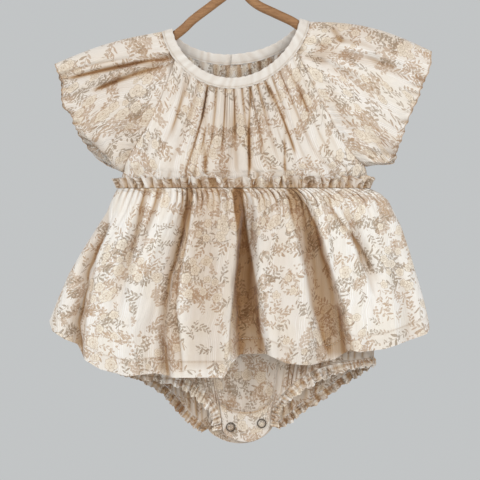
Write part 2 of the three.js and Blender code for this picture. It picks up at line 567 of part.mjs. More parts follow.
// Hanger: two bent wooden arms that meet in a short neck, and a wire hook
const LEFT_ARM = [{ x: -127, z: -32.5 }, { x: -112, z: -27 }, { x: -92, z: -22.5 }, { x: -74, z: -19 },
  { x: -58, z: -8 }, { x: -48, z: 1.5 }, { x: -27, z: 17.5 }, { x: -11, z: 30.5 }, { x: -4, z: 42 }];
const RIGHT_ARM = [{ x: 133, z: -18 }, { x: 118, z: -12.5 }, { x: 100, z: -9.8 }, { x: 83, z: -8.8 },
  { x: 66, z: -7.6 }, { x: 52, z: 0.6 }, { x: 35, z: 8.6 }, { x: 17, z: 17.5 }, { x: 6, z: 28 },
  { x: 0, z: 42 }];
function hangerArms() {
  const blunt = (t) => Math.min(1, 0.45 + 0.55 * Math.sqrt(Math.min(1, t / 0.05)));
  const arms = [LEFT_ARM, RIGHT_ARM].map((rows) => {
    const line = curveOf(rows.map((row) => V(row.x, 0, row.z)));
    return bar('arm', line, 14, 8, ARM.tall, ARM.deep, COLOURS.wood, blunt);
  });
  return joined('hanger_arms', arms, COLOURS.wood);
}
function hangerHook() {
  const stem = [{ x: HOOK.x, z: HOOK.stemZ + GAP }, { x: HOOK.x, z: HOOK.stemZ + 12 }];
  const turn = [-62, -35, 0, 30, 60, 90, 120, 150, 180, 205].map((angle) => ({
    x: HOOK.x + HOOK.radius * Math.cos(rad(angle)),
    z: HOOK.centreZ + HOOK.radius * Math.sin(rad(angle)),
  }));
  const path = curveOf([...stem, ...turn].map((row) => V(row.x, 0, row.z)));
  return bar('hanger_hook', path, 24, 6, HOOK.wire * 2, HOOK.wire * 2, COLOURS.steel, () => 1, 0.9);
}

// The whole romper on its hanger
const SKIRT_LEVELS = [0, 0.07, 0.18, 0.36, 0.58, 0.8, 1];
const BLOOMER_LEVELS = [0, 0.1, 0.28, 0.48, 0.68, 0.88, 1];
const bodiceBack = gridOf(bodice(1), steps(42), steps(6));
const bloomerFront = gridOf(bloomer(-1), steps(36), BLOOMER_LEVELS);
const placket = stripOn('crotch_placket', bloomerFront, -1, [-2], [13, 24]);

const garment = new THREE.Group();
garment.add(
  neckBinding(),
  wall('bodice_front', gridOf(bodice(-1), steps(60), steps(6)), COLOURS.print, { face: -1 }),
  wall('bodice_back', bodiceBack, COLOURS.print, { face: 1 }),
  stripOn('back_placket', bodiceBack, 1, [0, 4], [20, 23]),
  wall('sleeve_left', sleeve(-1, 44, 6), COLOURS.print, { ring: true }),
  wall('sleeve_right', sleeve(1, 44, 6), COLOURS.print, { ring: true }),
  waistFrill(),
  wall('skirt_front', skirt(-1, 80, SKIRT_LEVELS), COLOURS.print, { face: -1 }),
  wall('skirt_back', skirt(1, 60, SKIRT_LEVELS), COLOURS.print, { face: 1 }),
  wall('bloomer_front', bloomerFront, COLOURS.print, { face: -1 }),
  wall('bloomer_back', gridOf(bloomer(1), steps(36), BLOOMER_LEVELS), COLOURS.print, { face: 1 }),
  legBand('left'),
  legBand('right'),
  placket,
  ...SNAPS.map((snap) => snapRing(snap, placket)),
  hangerArms(),
  hangerHook(),
);
garment.position.set(-HOOK.x, 0, -(HOOK.centreZ + HOOK.radius - HOOK.wire));

const romper = new THREE.Group();
romper.add(garment);
export default romper;
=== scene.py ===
# A baby's bubble romper in printed crinkle gauze, hanging on a slim wooden hanger
import math
import bpy
import numpy as np
from mathutils import Matrix, Vector


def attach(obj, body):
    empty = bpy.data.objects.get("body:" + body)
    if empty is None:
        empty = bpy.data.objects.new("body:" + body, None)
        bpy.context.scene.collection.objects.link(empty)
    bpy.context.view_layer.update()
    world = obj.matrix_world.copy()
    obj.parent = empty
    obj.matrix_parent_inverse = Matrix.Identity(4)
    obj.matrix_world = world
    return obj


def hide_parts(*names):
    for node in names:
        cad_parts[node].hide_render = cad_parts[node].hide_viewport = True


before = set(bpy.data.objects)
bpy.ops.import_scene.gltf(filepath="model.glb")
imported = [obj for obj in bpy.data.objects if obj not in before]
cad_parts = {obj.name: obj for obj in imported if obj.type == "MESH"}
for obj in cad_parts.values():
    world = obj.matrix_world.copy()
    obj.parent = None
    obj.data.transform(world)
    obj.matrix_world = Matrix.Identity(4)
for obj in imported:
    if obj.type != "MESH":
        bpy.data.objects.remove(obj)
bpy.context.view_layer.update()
bpy.context.scene.view_settings.view_transform = "Standard"
print("frame loaded,", len(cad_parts), "nodes")

# The cloth is drawn in millimetres in its own frame, z = 0 at the neck's shoulder points, and toPlace
# moves it into the model's frame in metres
shift = np.array([2.0, 0.0, -96.4])
tau = 2 * np.pi
gap = 0.3
clothWall = 1.2          # wall of the solids that the cloth follows
waistZ = -168.0


def toPlace(points):
    return (points + shift) / 1000


def lerp(a, b, t):
    return a + (b - a) * t


def smooth(low, high, x):
    t = np.clip((x - low) / (high - low), 0, 1)
    return t * t * (3 - 2 * t)


def lens(a, power=3):
    return np.sqrt(np.maximum(0, 1 - np.abs(2 * a - 1) ** power))


def crowd(u, k=0.6):
    return u - k * np.sin(tau * u) / tau


def pile(x, y, z):
    return np.stack(np.broadcast_arrays(x, y, z), -1).astype(float)


def unit(v):
    return v / np.maximum(np.linalg.norm(v, axis=-1, keepdims=True), 1e-9)


def wander(x, seed):      # a soft uneven line between about -1 and 1
    return (np.sin(x + seed) + 0.7 * np.sin(2.17 * x + 1.3 * seed) + 0.45 * np.sin(4.61 * x + 2.1 * seed)) / 1.6


# Soft round-topped gathers: narrow troughs between full crests, with a mean near 0
def pleat(phase, sharp=1.6):
    return 1.5 * (0.5 + 0.5 * np.cos(phase)) ** (1 / sharp) - 0.85


def curveAt(points, t):      # a centripetal Catmull-Rom line through the points
    points = np.asarray(points, float)
    p = np.vstack([2 * points[0] - points[1], points, 2 * points[-1] - points[-2]])
    at = np.clip(np.asarray(t, float), 0, 1) * (len(points) - 1)
    i = np.minimum(at.astype(int), len(points) - 2)
    w = (at - i)[..., None]
    a, b, c, d = p[i], p[i + 1], p[i + 2], p[i + 3]
    ab, bc, cd = (np.sqrt(np.linalg.norm(f - e, axis=-1))[..., None] for e, f in ((a, b), (b, c), (c, d)))
    m = ((b - a) / ab - (c - a) / (ab + bc) + (c - b) / bc) * bc
    n = ((c - b) / bc - (d - b) / (bc + cd) + (d - c) / cd) * bc
    return b + m * w + (3 * (c - b) - 2 * m - n) * w ** 2 + (2 * (b - c) + m + n) * w ** 3


def evenly(line, count):      # shares of a line that are even along its length
    fine = np.linspace(0, 1, 1201)
    run = np.concatenate([[0], np.cumsum(np.linalg.norm(np.diff(line(fine), axis=0), axis=1))])
    return np.interp(np.linspace(0, run[-1], count), run, fine)


def normalsOf(grid, ring=False):
    if ring:
        across = np.roll(grid[:, :-1], -1, 1) - np.roll(grid[:, :-1], 1, 1)
        across = np.concatenate([across, across[:, :1]], 1)
    else:
        across = np.gradient(grid, axis=1)
    return unit(np.cross(across, np.gradient(grid, axis=0)))


# Folds placed on a panel seen from the front: each runs from one point to another in x and z,
# bows sideways by bend, and stands out by depth (a trough where that is below 0), width across
def handFolds(grid, rows):
    x, z = grid[..., 0], grid[..., 2]
    out = np.zeros(x.shape)
    for x0, z0, x1, z1, bend, depth, width, fade in rows:
        length = math.hypot(x1 - x0, z1 - z0)
        ax, az = (x1 - x0) / length, (z1 - z0) / length
        t = ((x - x0) * ax + (z - z0) * az) / length
        off = (x - x0) * az - (z - z0) * ax - bend * 4 * t * (1 - t)
        shown = smooth(-fade, fade, t) * (1 - smooth(1 - fade, 1 + fade, t))
        out += depth * shown * np.exp(-(off / width) ** 2)
    return out


# Valleys between pleats, by their left and right edges in x at each z, with how dark the shade painted on their floor
# is;
# soft is the width of the left and right side in millimetres
def valleyFloors(grid, rows):
    x, z = grid[..., 0], grid[..., 2]
    down, shade = np.zeros(x.shape), np.zeros(x.shape)
    for deep, softLeft, softRight, edges in rows:
        table = np.array(edges[::-1], float).T
        left, right, dark = (np.interp(z, table[0], column) for column in table[1:])
        inside = smooth(-softLeft, softLeft, x - left) * (1 - smooth(-softRight, softRight, x - right))
        inside = inside * smooth(table[0][0] - 8, table[0][0] + 4, z)
        down, shade = np.maximum(down, deep * inside * np.minimum(1, 2.5 * dark)), np.maximum(shade, dark * inside)
    return down, shade


# The cut of a panel: how far each point of the cloth is across and down it, in millimetres, with the
# rows as wide as a share of the widest one, so that the print is squeezed where the cloth is gathered
def cutOf(grid, row, squeeze=0.5, middle=0.5):
    across = np.concatenate([np.zeros((len(grid), 1)), np.cumsum(
        np.linalg.norm(np.diff(grid, axis=1), axis=2), axis=1)], 1)
    across = across - across[:, [int(middle * (grid.shape[1] - 1))]]
    down = np.concatenate([np.zeros((1, grid.shape[1])), np.cumsum(
        np.linalg.norm(np.diff(grid, axis=0), axis=2), axis=0)], 0)
    return np.stack([lerp(across, across[row][None], squeeze), -down], -1)


# How far each point lies in a hollow of the cloth, from 0 to about 1, for the shade of the troughs
def hollowOf(grid, face, reach, ring=False, full=1.6):
    depth = grid[..., 1] * face
    kernel = np.hanning(2 * reach + 3)[1:-1]
    kernel /= kernel.sum()
    padded = np.pad(depth, ((0, 0), (reach, reach)), mode="wrap" if ring else "edge")
    level = np.apply_along_axis(lambda row: np.convolve(row, kernel, "valid"), 1, padded)
    return np.clip((level - depth) / full, 0, 1)


def deselect():
    if bpy.context.object and bpy.context.object.mode != "OBJECT":
        bpy.ops.object.mode_set(mode="OBJECT")
    bpy.ops.object.select_all(action="DESELECT")


def cleanUp(piece, angle=50):      # merge the seam, point the faces out, shade smooth
    bpy.ops.object.mode_set(mode="EDIT")
    bpy.ops.mesh.select_all(action="SELECT")
    bpy.ops.mesh.remove_doubles(threshold=2e-6)
    bpy.ops.object.mode_set(mode="OBJECT")
    bpy.ops.object.shade_smooth_by_angle(angle=math.radians(angle))
    return piece


def addGrid(name, points, flat=None, values=None):
    deselect()
    rows, columns = points.shape[:2]
    bpy.ops.mesh.primitive_grid_add(x_subdivisions=columns - 1, y_subdivisions=rows - 1, size=1)
    piece = bpy.context.object
    piece.name = piece.data.name = name
    piece.data.vertices.foreach_set("co", toPlace(points).astype(np.float32).ravel())
    layer = piece.data.uv_layers.active
    layer.name = "cloth"
    if flat is not None:
        corner = np.empty(len(piece.data.loops), np.int32)
        piece.data.loops.foreach_get("vertex_index", corner)
        layer.uv.foreach_set("vector", (flat.reshape(-1, 2) / 1000)[corner].astype(np.float32).ravel())
    for key, value in (values or {}).items():
        kept = piece.data.attributes.new(key, "FLOAT", "POINT")
        kept.data.foreach_set("value", np.broadcast_to(value, points.shape[:2]).astype(np.float32).ravel())
    return piece


# A sheet of cloth on a grid of points, with its wall; face is -1 or 1 where it stops at the side seams
def makeCloth(name, points, flat, thick, ring=False, face=0, values=None):
    piece = addGrid(name, points, flat, values)
    if ring:
        cleanUp(piece)
    wall = piece.modifiers.new("wall", "SOLIDIFY")
    wall.thickness, wall.offset = thick / 1000, 0
    bpy.ops.object.modifier_apply(modifier="wall")
    if face:
        co = np.empty(len(piece.data.vertices) * 3, np.float32)
        piece.data.vertices.foreach_get("co", co)
        co = co.reshape(-1, 3)
        co[:, 1] = face * np.maximum(gap / 2000, face * co[:, 1])
        piece.data.vertices.foreach_set("co", co.ravel())
    piece.data.update()
    bpy.ops.object.shade_smooth_by_angle(angle=math.radians(50))
    return piece


# What each sheet is cut to, from its own lengths: across its widest row and down its middle
def flatSize(points):
    wide = np.linalg.norm(np.diff(points, axis=1), axis=2).sum(1).max() / 1000
    long = np.linalg.norm(np.diff(points, axis=0), axis=2).sum(0).max() / 1000
    d = np.cross(np.diff(points, axis=1)[:-1], np.diff(points, axis=0)[:, :-1])
    return (round(float(wide), 3), round(float(long), 3)), float(np.linalg.norm(d, axis=2).sum()) / 1e6


def declare(piece, points, node):
    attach(piece, "root")
    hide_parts(node)
    flat, area = flatSize(points)
    if node == "neck_binding":      # a folded strip, as wide as it shows
        flat, area = (flat[1], 0.0105), flat[1] * 0.0105
    area = min(area, flat[0] * flat[1])
    print(f"{piece.name}: cut {flat[0]} x {flat[1]} m, {len(piece.data.polygons)} faces")


# Neck, raglan seams and waist, which the panels share
neck = {"midX": -4, "halfWidth": 69, "leftZ": -9, "rightZ": 1, "frontDrop": 59, "backDrop": 33,
        "frontDepth": 14, "backDepth": 11, "bend": 1.3, "blunt": 0.55, "stand": 0.25}
raglanTurn = {(-1, -1): 214, (1, -1): 326, (-1, 1): 144, (1, 1): 36}      # by side and face
raglanRows = {-1: [(-79, -77, 12), (-93, -107, 12), (-105, -126, 10), (-115, -143, 6.5)],
              1: [(74, -66, 12), (90, -97, 12), (104, -123, 10), (118, -139, 6.5)]}      # x, z, deep
underarm = {-1: (-117, -152), 1: (127, -146)}
backShare = 0.8
waist = {"left": -122, "right": 129, "front": 17, "back": 13}
bindingSize = {"width": 10.5, "thick": 2.4, "overlap": 9, "step": 1.5}


def neckRing(turn):
    c, s = np.cos(np.radians(turn)), np.sin(np.radians(turn))
    drop = np.where(s < 0, neck["frontDrop"], neck["backDrop"])
    depth = np.where(s < 0, -neck["frontDepth"], neck["backDepth"])
    side = np.abs(s)
    shoulder = lerp(neck["rightZ"], neck["leftZ"], (1 - c) / 2)
    return pile(neck["midX"] + neck["halfWidth"] * c, depth * side ** neck["blunt"],
                shoulder - drop * side ** neck["bend"])


def neckDown(turn):
    return unit(pile(np.cos(np.radians(turn)), 0, -np.abs(np.sin(np.radians(turn))) - neck["stand"]))


def neckSeam(turn):
    return neckRing(turn) + neckDown(turn) * (bindingSize["width"] / 2 + gap)


def raglan(side, face):
    share = -1 if face < 0 else backShare
    rows = [(x, deep * share, z) for x, z, deep in raglanRows[side]]
    return np.array([neckSeam(raglanTurn[side, face]), *rows, (underarm[side][0], face * gap, underarm[side][1])])


def waistPoint(a, face, inward=0.0, z=waistZ):
    depth = waist["front" if face < 0 else "back"] - inward
    return pile(lerp(waist["left"] + inward, waist["right"] - inward, a), face * (gap / 2 + depth * lens(a)), z)


def gather(u, away, waves, reach):
    return 1.7 * np.cos(tau * (waves * u + 0.35 * np.sin(7 * u + 2))) * np.exp(-away / reach)


# Bodice: gathered on to the neck, down to the waist, between the raglan seams
bodiceDepth = [(0, 14, 11), (0.3, 18, 13.5), (0.7, 18.8, 14.5), (1, 17, 13)]      # v, front, back
bodiceLook = {
    -1: {"name": "bodiceFront", "node": "bodice_front", "columns": 250, "rows": 104, "waves": 16, "seed": 1.0,
         "fine": 37, "fineHeight": 1.3, "waistHeight": 1.1},
    1: {"name": "bodiceBack", "node": "bodice_back", "columns": 180, "rows": 84, "waves": 11, "seed": 4.0,
        "fine": 33, "fineHeight": 1.1, "waistHeight": 1.0},
}
# from x, z to x, z, bow, height, width, fade
bodiceFolds = {
    -1: [(-63, -44, -98, -150, -4, 2.4, 4.5, 0.2), (-70, -60, -104, -150, -3, -1.6, 4, 0.2),
         (-56, -60, -70, -130, 0, 1.3, 4, 0.2), (-54, -52, -68, -110, -1, -1.8, 2.2, 0.15),
         (-33, -65, -37, -100, 0, -1.5, 2.2, 0.2), (-37, -96, -34, -156, 0, -1.0, 2.6, 0.2),
         (-28, -68, -32, -130, 0, 1.2, 3.5, 0.2), (9.8, -67, 9, -156, 0, -1.7, 1.6, 0.12),
         (3.5, -67, 4, -106, 0, 1.3, 3.5, 0.2), (15.5, -78, 17, -124, 0, 1.4, 4, 0.25),
         (22, -67, 46, -122, 0, 1.8, 3.4, 0.15), (28.5, -65, 55, -133, -1, -2.4, 2.1, 0.12),
         (58, -61, 68, -90, 0, -1.5, 2, 0.2), (59, -54, 76, -112, 0, 2.0, 3.6, 0.15),
         (44.6, -112, 45, -156, 0, -1.3, 1.9, 0.2), (-8, -94, -12, -156, 0, -1.1, 4, 0.2),
         (80, -80, 94, -142, 3, 1.4, 5, 0.2), (-100, -120, -112, -164, 0, 1.4, 5, 0.3),
         (100, -118, 118, -160, 0, 1.4, 5, 0.3)],
    1: [(-50, -40, -84, -146, -3, -1.6, 6, 0.25), (-20, -48, -30, -150, 0, 1.5, 7, 0.3),
        (30, -46, 46, -150, 2, -1.5, 6, 0.3), (56, -40, 94, -140, 3, 1.6, 6, 0.25)],
}
bodiceShades = {      # painted shade: darker strokes, laid out as the folds
    -1: [(-54, -52, -68, -116, -1, 0.4, 2.6, 0.15), (-33, -65, -37, -150, 0, 0.3, 2.6, 0.2),
         (9.8, -67, 9, -156, 0, 0.42, 1.7, 0.12), (28.5, -65, 55, -133, -1, 0.6, 2.2, 0.12),
         (58, -61, 68, -92, 0, 0.4, 2.2, 0.2), (44.6, -112, 45, -156, 0, 0.3, 1.8, 0.2),
         (-8, -94, -12, -156, 0, 0.25, 4.5, 0.2), (0, -60, 4, -170, 0, 0.2, 62, 0.3)],
    1: [(-58, -44, -90, -146, -3, 0.2, 5, 0.25)],
}
sideStart = 0.88


def bodiceGrid(face, u, v, relief=None):
    left, right = raglan(-1, face), raglan(1, face)
    turnFrom, turnTo = raglanTurn[-1, face], raglanTurn[1, face]
    u, v = u[None, :], v[:, None]
    a = crowd(u, 0.3)

    def bottom(share):
        return waistPoint(share, face, z=waistZ + gap)

    def turned(seam, corner, at):      # down the raglan seam, then down the side
        low = lerp(seam[-1], corner, ((at - sideStart) / (1 - sideStart))[..., None])
        return np.where(at[..., None] <= sideStart, curveAt(seam, at / sideStart), low)

    def edge(seam, corner, at):      # with its corner under the arm eased, so that no crease runs across
        ease = 0.07 * np.minimum(1, np.minimum(at, 1 - at) / 0.08)
        return sum(turned(seam, corner, at + part * ease) for part in np.linspace(-1, 1, 9)) / 9

    zero, one = np.zeros((1, 1)), np.ones((1, 1))
    ends = [(left, bottom(np.array(0.0))), (right, bottom(np.array(1.0)))]
    across = lerp(edge(*ends[0], v), edge(*ends[1], v), a[..., None])
    corners = lerp(lerp(edge(*ends[0], zero), edge(*ends[1], zero), a[..., None]),
                   lerp(edge(*ends[0], one), edge(*ends[1], one), a[..., None]), v[..., None])
    top = neckSeam(lerp(turnFrom, turnTo, u))
    point = lerp(top, bottom(a), v[..., None]) + across - corners
    depth = face * np.interp(v, [row[0] for row in bodiceDepth], [row[1 if face < 0 else 2] for row in bodiceDepth])
    point[..., 1] = lerp(top[..., 1], lerp(across[..., 1], depth, lens(a)), smooth(0, 0.3, v))
    loose = np.sin(np.pi * np.clip(u, 0, 1)) ** 0.5
    point[..., 1] += face * loose * gather(u, v, 16 if face < 0 else 11, 0.75) * (1 - 0.6 * v)
    if relief:
        seed = relief["seed"]
        fine = pleat(tau * (relief["fine"] * u + 1.3 * wander(11 * u, seed) + 0.35 * v * wander(5 * u, seed)), 1.4)
        tall = relief["fineHeight"] * (0.55 + 0.75 * wander(37 * u, seed + 2))
        extra = tall * fine * np.exp(-v / (0.28 + 0.16 * wander(19 * u, seed + 6))) * smooth(-0.01, 0.03, v)
        broad = pleat(tau * (14 * u + 0.9 * wander(7 * u, seed + 9)), 1.8) * (0.6 + 0.4 * wander(12 * u, seed + 3))
        extra = extra + 1.1 * broad * smooth(0, 0.15, v)
        low = pleat(tau * (relief["fine"] * 0.8 * u + 0.9 * wander(8 * u, seed + 5)), 1.3)
        extra = extra + relief["waistHeight"] * low * np.exp(-(1 - v) / 0.14)
        extra = extra + 0.5 * wander(31 * u + 3 * v, seed) * smooth(0, 0.3, v) + handFolds(point, bodiceFolds[face])
        point[..., 1] += face * loose * extra * smooth(0, 0.025, v) * lens(v, 12)
    return point


def buildBodice(face):
    look = bodiceLook[face]
    u, v = np.linspace(0, 1, look["columns"] + 1), np.linspace(0, 1, look["rows"] + 1)
    points = bodiceGrid(face, u, v, look)
    flat = cutOf(points, look["rows"] // 2, 0.5) + (900 + 40 * face, 300 - 60 * face)
    # painted shade: darker along the raglan seams, in the gathers' hollows and along the listed fold strokes, with a
    # light even shade all over
    seam = 0.3 * np.exp(-(np.minimum(u, 1 - u)[None, :] / 0.005) ** 2)
    values = {"foldDepthAndShade": hollowOf(points, face, 8, full=1.5) + 0.12 + handFolds(points, bodiceShades[face]) + seam}
    return makeCloth(look["name"], points, flat, 0.9, face=face, values=values), points


# Flutter sleeves, from the armhole to a cuff whose rows go up from the underarm to its tip
cuffRows = {      # x, z, back
    -1: [(-126, -148, 0), (-130, -142, 6), (-137, -133, 9), (-147, -123, 8), (-159, -115, 3), (-165, -106, 0),
         (-170, -94, 0), (-176, -87, 1), (-179, -74, 2), (-179, -61, 2), (-183, -51, 1), (-187, -43, 0)],
    1: [(140, -143.5, 0), (146, -143, 2), (152, -141, 3), (157, -130, 2), (163, -119, -1), (165, -108, 0),
        (171, -95, 1), (177, -82, 0), (181, -71, 1), (187, -58, 0), (191, -44, 0), (193, -30, 0)],
}
sleeveLook = {      # folds: head, cuff, depth, below, above, from, to
    -1: {"name": "sleeveLeft", "node": "sleeve_left", "rise": 4.5, "puff": 5, "seed": 0.4,
         "folds": [(0.41, 0.43, 5.5, 0.03, 0.018, 0, 1.3), (0.385, 0.34, 5, 0.03, 0.02, 0, 0.75),
                   (0.30, 0.22, -2.5, 0.06, 0.05, 0.1, 1.2)]},
    1: {"name": "sleeveRight", "node": "sleeve_right", "rise": 9, "puff": 6, "seed": 2.4,
        "folds": [(0.42, 0.40, 4.5, 0.025, 0.02, 0.15, 1.3), (0.40, 0.30, 4, 0.03, 0.02, 0, 0.55),
                  (0.12, 0.10, 3.5, 0.03, 0.03, 0.4, 1.3)]},
}
sleeveFolds = {      # on the front, as bodiceFolds
    -1: [(-66, -34, -172, -53, 2, 3.2, 3.2, 0.1), (-80, -40, -146, -64, 2, 2.8, 3.2, 0.12),
         (-68, -38, -172, -58, 2, -1.6, 2.4, 0.1), (-82, -45, -144, -70, 2, -1.4, 2.4, 0.12),
         (-78, -54, -168, -84, 4, 1.3, 6, 0.25), (-88, -84, -160, -108, 6, 1.4, 6, 0.25),
         (-96, -100, -138, -134, 5, -1.4, 7, 0.25), (-104, -118, -128, -146, 3, 1.3, 5, 0.25)],
    1: [(80, -22, 136, -38, -6, -2.6, 5, 0.2), (108, -28, 178, -60, -6, 2.6, 5, 0.2),
         (90, -8, 102, -22, 0, -2.0, 4, 0.3), (76, -44, 112, -120, 4, 1.6, 4, 0.2),
        (76, -36, 150, -72, -4, 1.6, 7, 0.25), (86, -60, 166, -100, -4, -1.5, 7, 0.25),
        (98, -84, 158, -124, -3, 1.5, 6, 0.25), (106, -104, 150, -134, -2, -1.6, 6, 0.25)],
}
# Painted shade: darker strokes in the sleeves' fold pits and shaded parts, laid out as the folds
sleeveShades = {
    -1: [(-70, -39, -170, -58, 2, 0.5, 2.8, 0.08), (-84, -46, -144, -70, 2, 0.42, 3.4, 0.12),
         (-98, -96, -122, -140, 0, 0.25, 18, 0.3), (-150, -108, -122, -150, 4, 0.2, 6, 0.25),
         (-70, -20, -180, -60, 0, 0.16, 30, 0.4), (-90, -60, -180, -100, 0, 0.14, 30, 0.4)],
    1: [(74, -30, 88, -40, 0, 0.5, 8, 0.3), (92, -6, 102, -20, 0, 0.55, 3, 0.3), (88, -20, 140, -34, -6, 0.3, 3, 0.25),
        (90, -66, 112, -112, 2, 0.3, 5, 0.3), (136, -116, 158, -132, 0, 0.3, 8, 0.3),
         (80, -4, 170, -26, -4, 0.3, 12, 0.35)],
}
sleeveSize = {"columns": 330, "rows": 64, "cuffDepth": 9, "cuffWaves": 9, "cuffWave": 1.8, "seamStep": 0.25,
              "headShare": 0.4, "edgeWaves": 30, "edgeWave": 1.15, "threadRow": 0.9925}


def sleeveHead(side, s):
    up = np.where(s < 0.5, 2 * s, 2 - 2 * s)
    share = sleeveSize["headShare"]
    seamAt = 1 - up / (2 * share)
    front, back = curveAt(raglan(side, -1), seamAt), curveAt(raglan(side, 1), seamAt)
    turns = [raglanTurn[side, -1] - (360 if side > 0 else 0), raglanTurn[side, 1]]
    along = (up - 2 * share) / (1 - 2 * share)
    onNeck = neckSeam(lerp(np.where(s < 0.5, *turns), 180 if side < 0 else 0, along))
    return np.where((up <= 2 * share)[..., None], np.where((s < 0.5)[..., None], front, back), onNeck)


def sleeveGrid(side, s, t, look):
    def cuff(share):
        up = np.where(share < 0.5, 2 * share, 2 - 2 * share)
        front = curveAt([(x, 0, z) for x, z, back in cuffRows[side]], up)
        back = curveAt([(x + side * back, 0, z - 0.3 * back) for x, z, back in cuffRows[side]], up)
        point = np.where((share < 0.5)[..., None], front, back)
        point[..., 1] = np.where(share < 0.5, -1, backShare) * sleeveSize["cuffDepth"] * lens(up, 9)
        return point

    seam = sleeveHead(side, s)
    along = unit(sleeveHead(side, np.minimum(s + 0.004, 1)) - sleeveHead(side, np.maximum(s - 0.004, 0)))
    away = cuff(s) - seam
    away = unit(away - along * (away * along).sum(-1, keepdims=True))
    start = seam + away * sleeveSize["seamStep"]
    s, t = s[None, :], t[:, None]
    point = lerp(start[None], cuff(s[0])[None], t[..., None])
    full = np.sin(np.pi * t)
    face = np.where(s < 0.5, -1, backShare)
    up = np.where(s < 0.5, 2 * s, 2 - 2 * s)
    point[..., 2] += look["rise"] * full * np.exp(-((s - 0.5) / 0.09) ** 2)
    point[..., 1] += face * look["puff"] * full * lens(up, 6)
    for head, low, depth, below, above, start, stop in look["folds"]:
        off = s - lerp(head, low, t)
        width = np.where(off < 0, below, above) * lerp(0.7, 1, t)
        shown = smooth(start - 0.15, start + 0.1, t) * (1 - smooth(stop - 0.25, stop, t))
        point[..., 1] += depth * shown * np.exp(-np.minimum(np.abs(off / width), 3) ** np.where(off < 0, 2, 4))
    wave = sleeveSize["cuffWave"] * np.sin(tau * sleeveSize["cuffWaves"] * s + 1) * t ** 5 * lens(up, 4)
    edge = sleeveSize["edgeWave"] * smooth(0.86, 1, t) * lens(up, 6) * (1 + 0.5 * wander(40 * s, 5)) * np.sin(
        tau * sleeveSize["edgeWaves"] * s + 2.6 * wander(11 * s, look["seed"]))
    fine = 0.55 * pleat(tau * (44 * s + 0.9 * wander(7 * s, look["seed"])), 1.3) * np.exp(-t / 0.2) * smooth(0, 0.05, t)
    drape = handFolds(point, sleeveFolds[side]) * (s < 0.5) * smooth(0, 0.12, t) * smooth(0, 0.25, up)
    point[..., 1] += wave + edge + face * fine * lens(up, 6) - drape
    point[..., 1] += face * 0.7 * wander(13 * s + 5 * t, look["seed"] + 1) * full * lens(up, 6)
    point[..., 0] += side * (0.45 * wave + 0.6 * edge)
    return point


def buildSleeve(side):
    look = sleeveLook[side]
    s = np.linspace(0, 1, sleeveSize["columns"] + 1)
    t = np.append(np.linspace(0, 0.985, sleeveSize["rows"]), [sleeveSize["threadRow"], 1])
    points = sleeveGrid(side, s, t, look)
    points[:, -1] = points[:, 0]
    flat = cutOf(points, sleeveSize["rows"] * 2 // 3, 0.5) + (300 + 250 * side, 900)
    faces = np.where(s < 0.5, -1, 1)[None, :]
    shades = handFolds(points, sleeveShades[side]) * (faces < 0)
    hollow = np.where(faces < 0, hollowOf(points, -1, 7, True), hollowOf(points, 1, 7, True))
    # painted shade along the armhole seam; with the hollows, the strokes and a light even shade it darkens the colour
    seam = 0.35 * np.exp(-(t[:, None] / 0.018) ** 2)
    values = {"foldDepthAndShade": hollow * 0.8 + shades + 0.1 + seam, "thread": (t >= sleeveSize["threadRow"])[:, None] * 1.0}
    return makeCloth(look["name"], points, flat, 0.8, ring=True, values=values), points


# Overskirt: its sides by the drop below the waist, its hem by the share across, and its folds
skirtSides = [(0, -123, 130), (5, -126, 141), (12, -129, 149), (24, -134, 155), (38, -143, 162), (60, -157, 169.5),
              (85, -171.5, 177), (110, -182.5, 184.5), (134, -192, 190), (160, -193, 192.5)]      # drop, left, right
skirtHem = {      # across, drop
    -1: [(0, 133), (0.012, 143), (0.045, 151), (0.078, 156), (0.1, 171), (0.14, 180), (0.21, 187), (0.28, 184.5),
         (0.33, 188), (0.46, 188), (0.478, 174), (0.5, 166), (0.57, 165), (0.62, 174), (0.68, 176), (0.745, 171),
         (0.785, 161), (0.81, 163), (0.875, 160), (0.95, 151), (0.99, 146), (1, 141)],
    1: [(0, 133), (0.06, 149), (0.25, 168), (0.5, 176), (0.75, 168), (0.94, 152), (1, 141)],
}
skirtFolds = {      # top, hem, depth, left, right, from, to, how crisp its left and right sides are
    -1: [(0.01, 0.086, 11, 0.045, 0.012, 0.1, 2, 2.6, 6), (0.1, 0.195, 9, 0.025, 0.03, 0, 0.85, 2.4, 3),
         (0.143, 0.185, 5, 0.02, 0.02, 0, 0.5, 2.6, 2.6), (0.27, 0.292, 12, 0.065, 0.028, -0.04, 2, 2.6, 7),
         (0.472, 0.52, 17, 0.03, 0.05, -0.04, 2, 6, 5), (0.69, 0.757, 13, 0.06, 0.028, -0.04, 2, 4, 7),
         (0.8, 0.905, 9, 0.018, 0.035, 0, 0.8, 5, 2.4), (0.94, 0.95, 6, 0.03, 0.03, 0.3, 2, 2.6, 2.6)],
    1: [(0.07, 0.09, 6, 0.035, 0.02, 0.1, 2, 2.6, 4), (0.2, 0.17, 8, 0.03, 0.045, -0.04, 2, 5, 2.6),
        (0.36, 0.34, 11, 0.03, 0.05, -0.04, 2, 6, 2.6), (0.54, 0.53, 12, 0.045, 0.03, -0.04, 2, 3, 6),
        (0.7, 0.73, 10, 0.05, 0.03, -0.04, 2, 2.6, 6), (0.86, 0.89, 7, 0.025, 0.04, -0.04, 2, 4, 2.6)],
}
skirtDepth = [(0, 18.9, 14.9), (0.12, 23, 18), (0.3, 29, 22), (0.6, 32, 25), (1, 34, 27)]
skirtLook = {
    -1: {"name": "skirtFront", "node": "skirt_front", "columns": 330, "rows": 120, "waves": 18, "fine": 47, "seed": 2.0},
    1: {"name": "skirtBack", "node": "skirt_back", "columns": 250, "rows": 100, "waves": 14, "fine": 39, "seed": 6.0},
}
hemWide = 15.5      # the turned hem
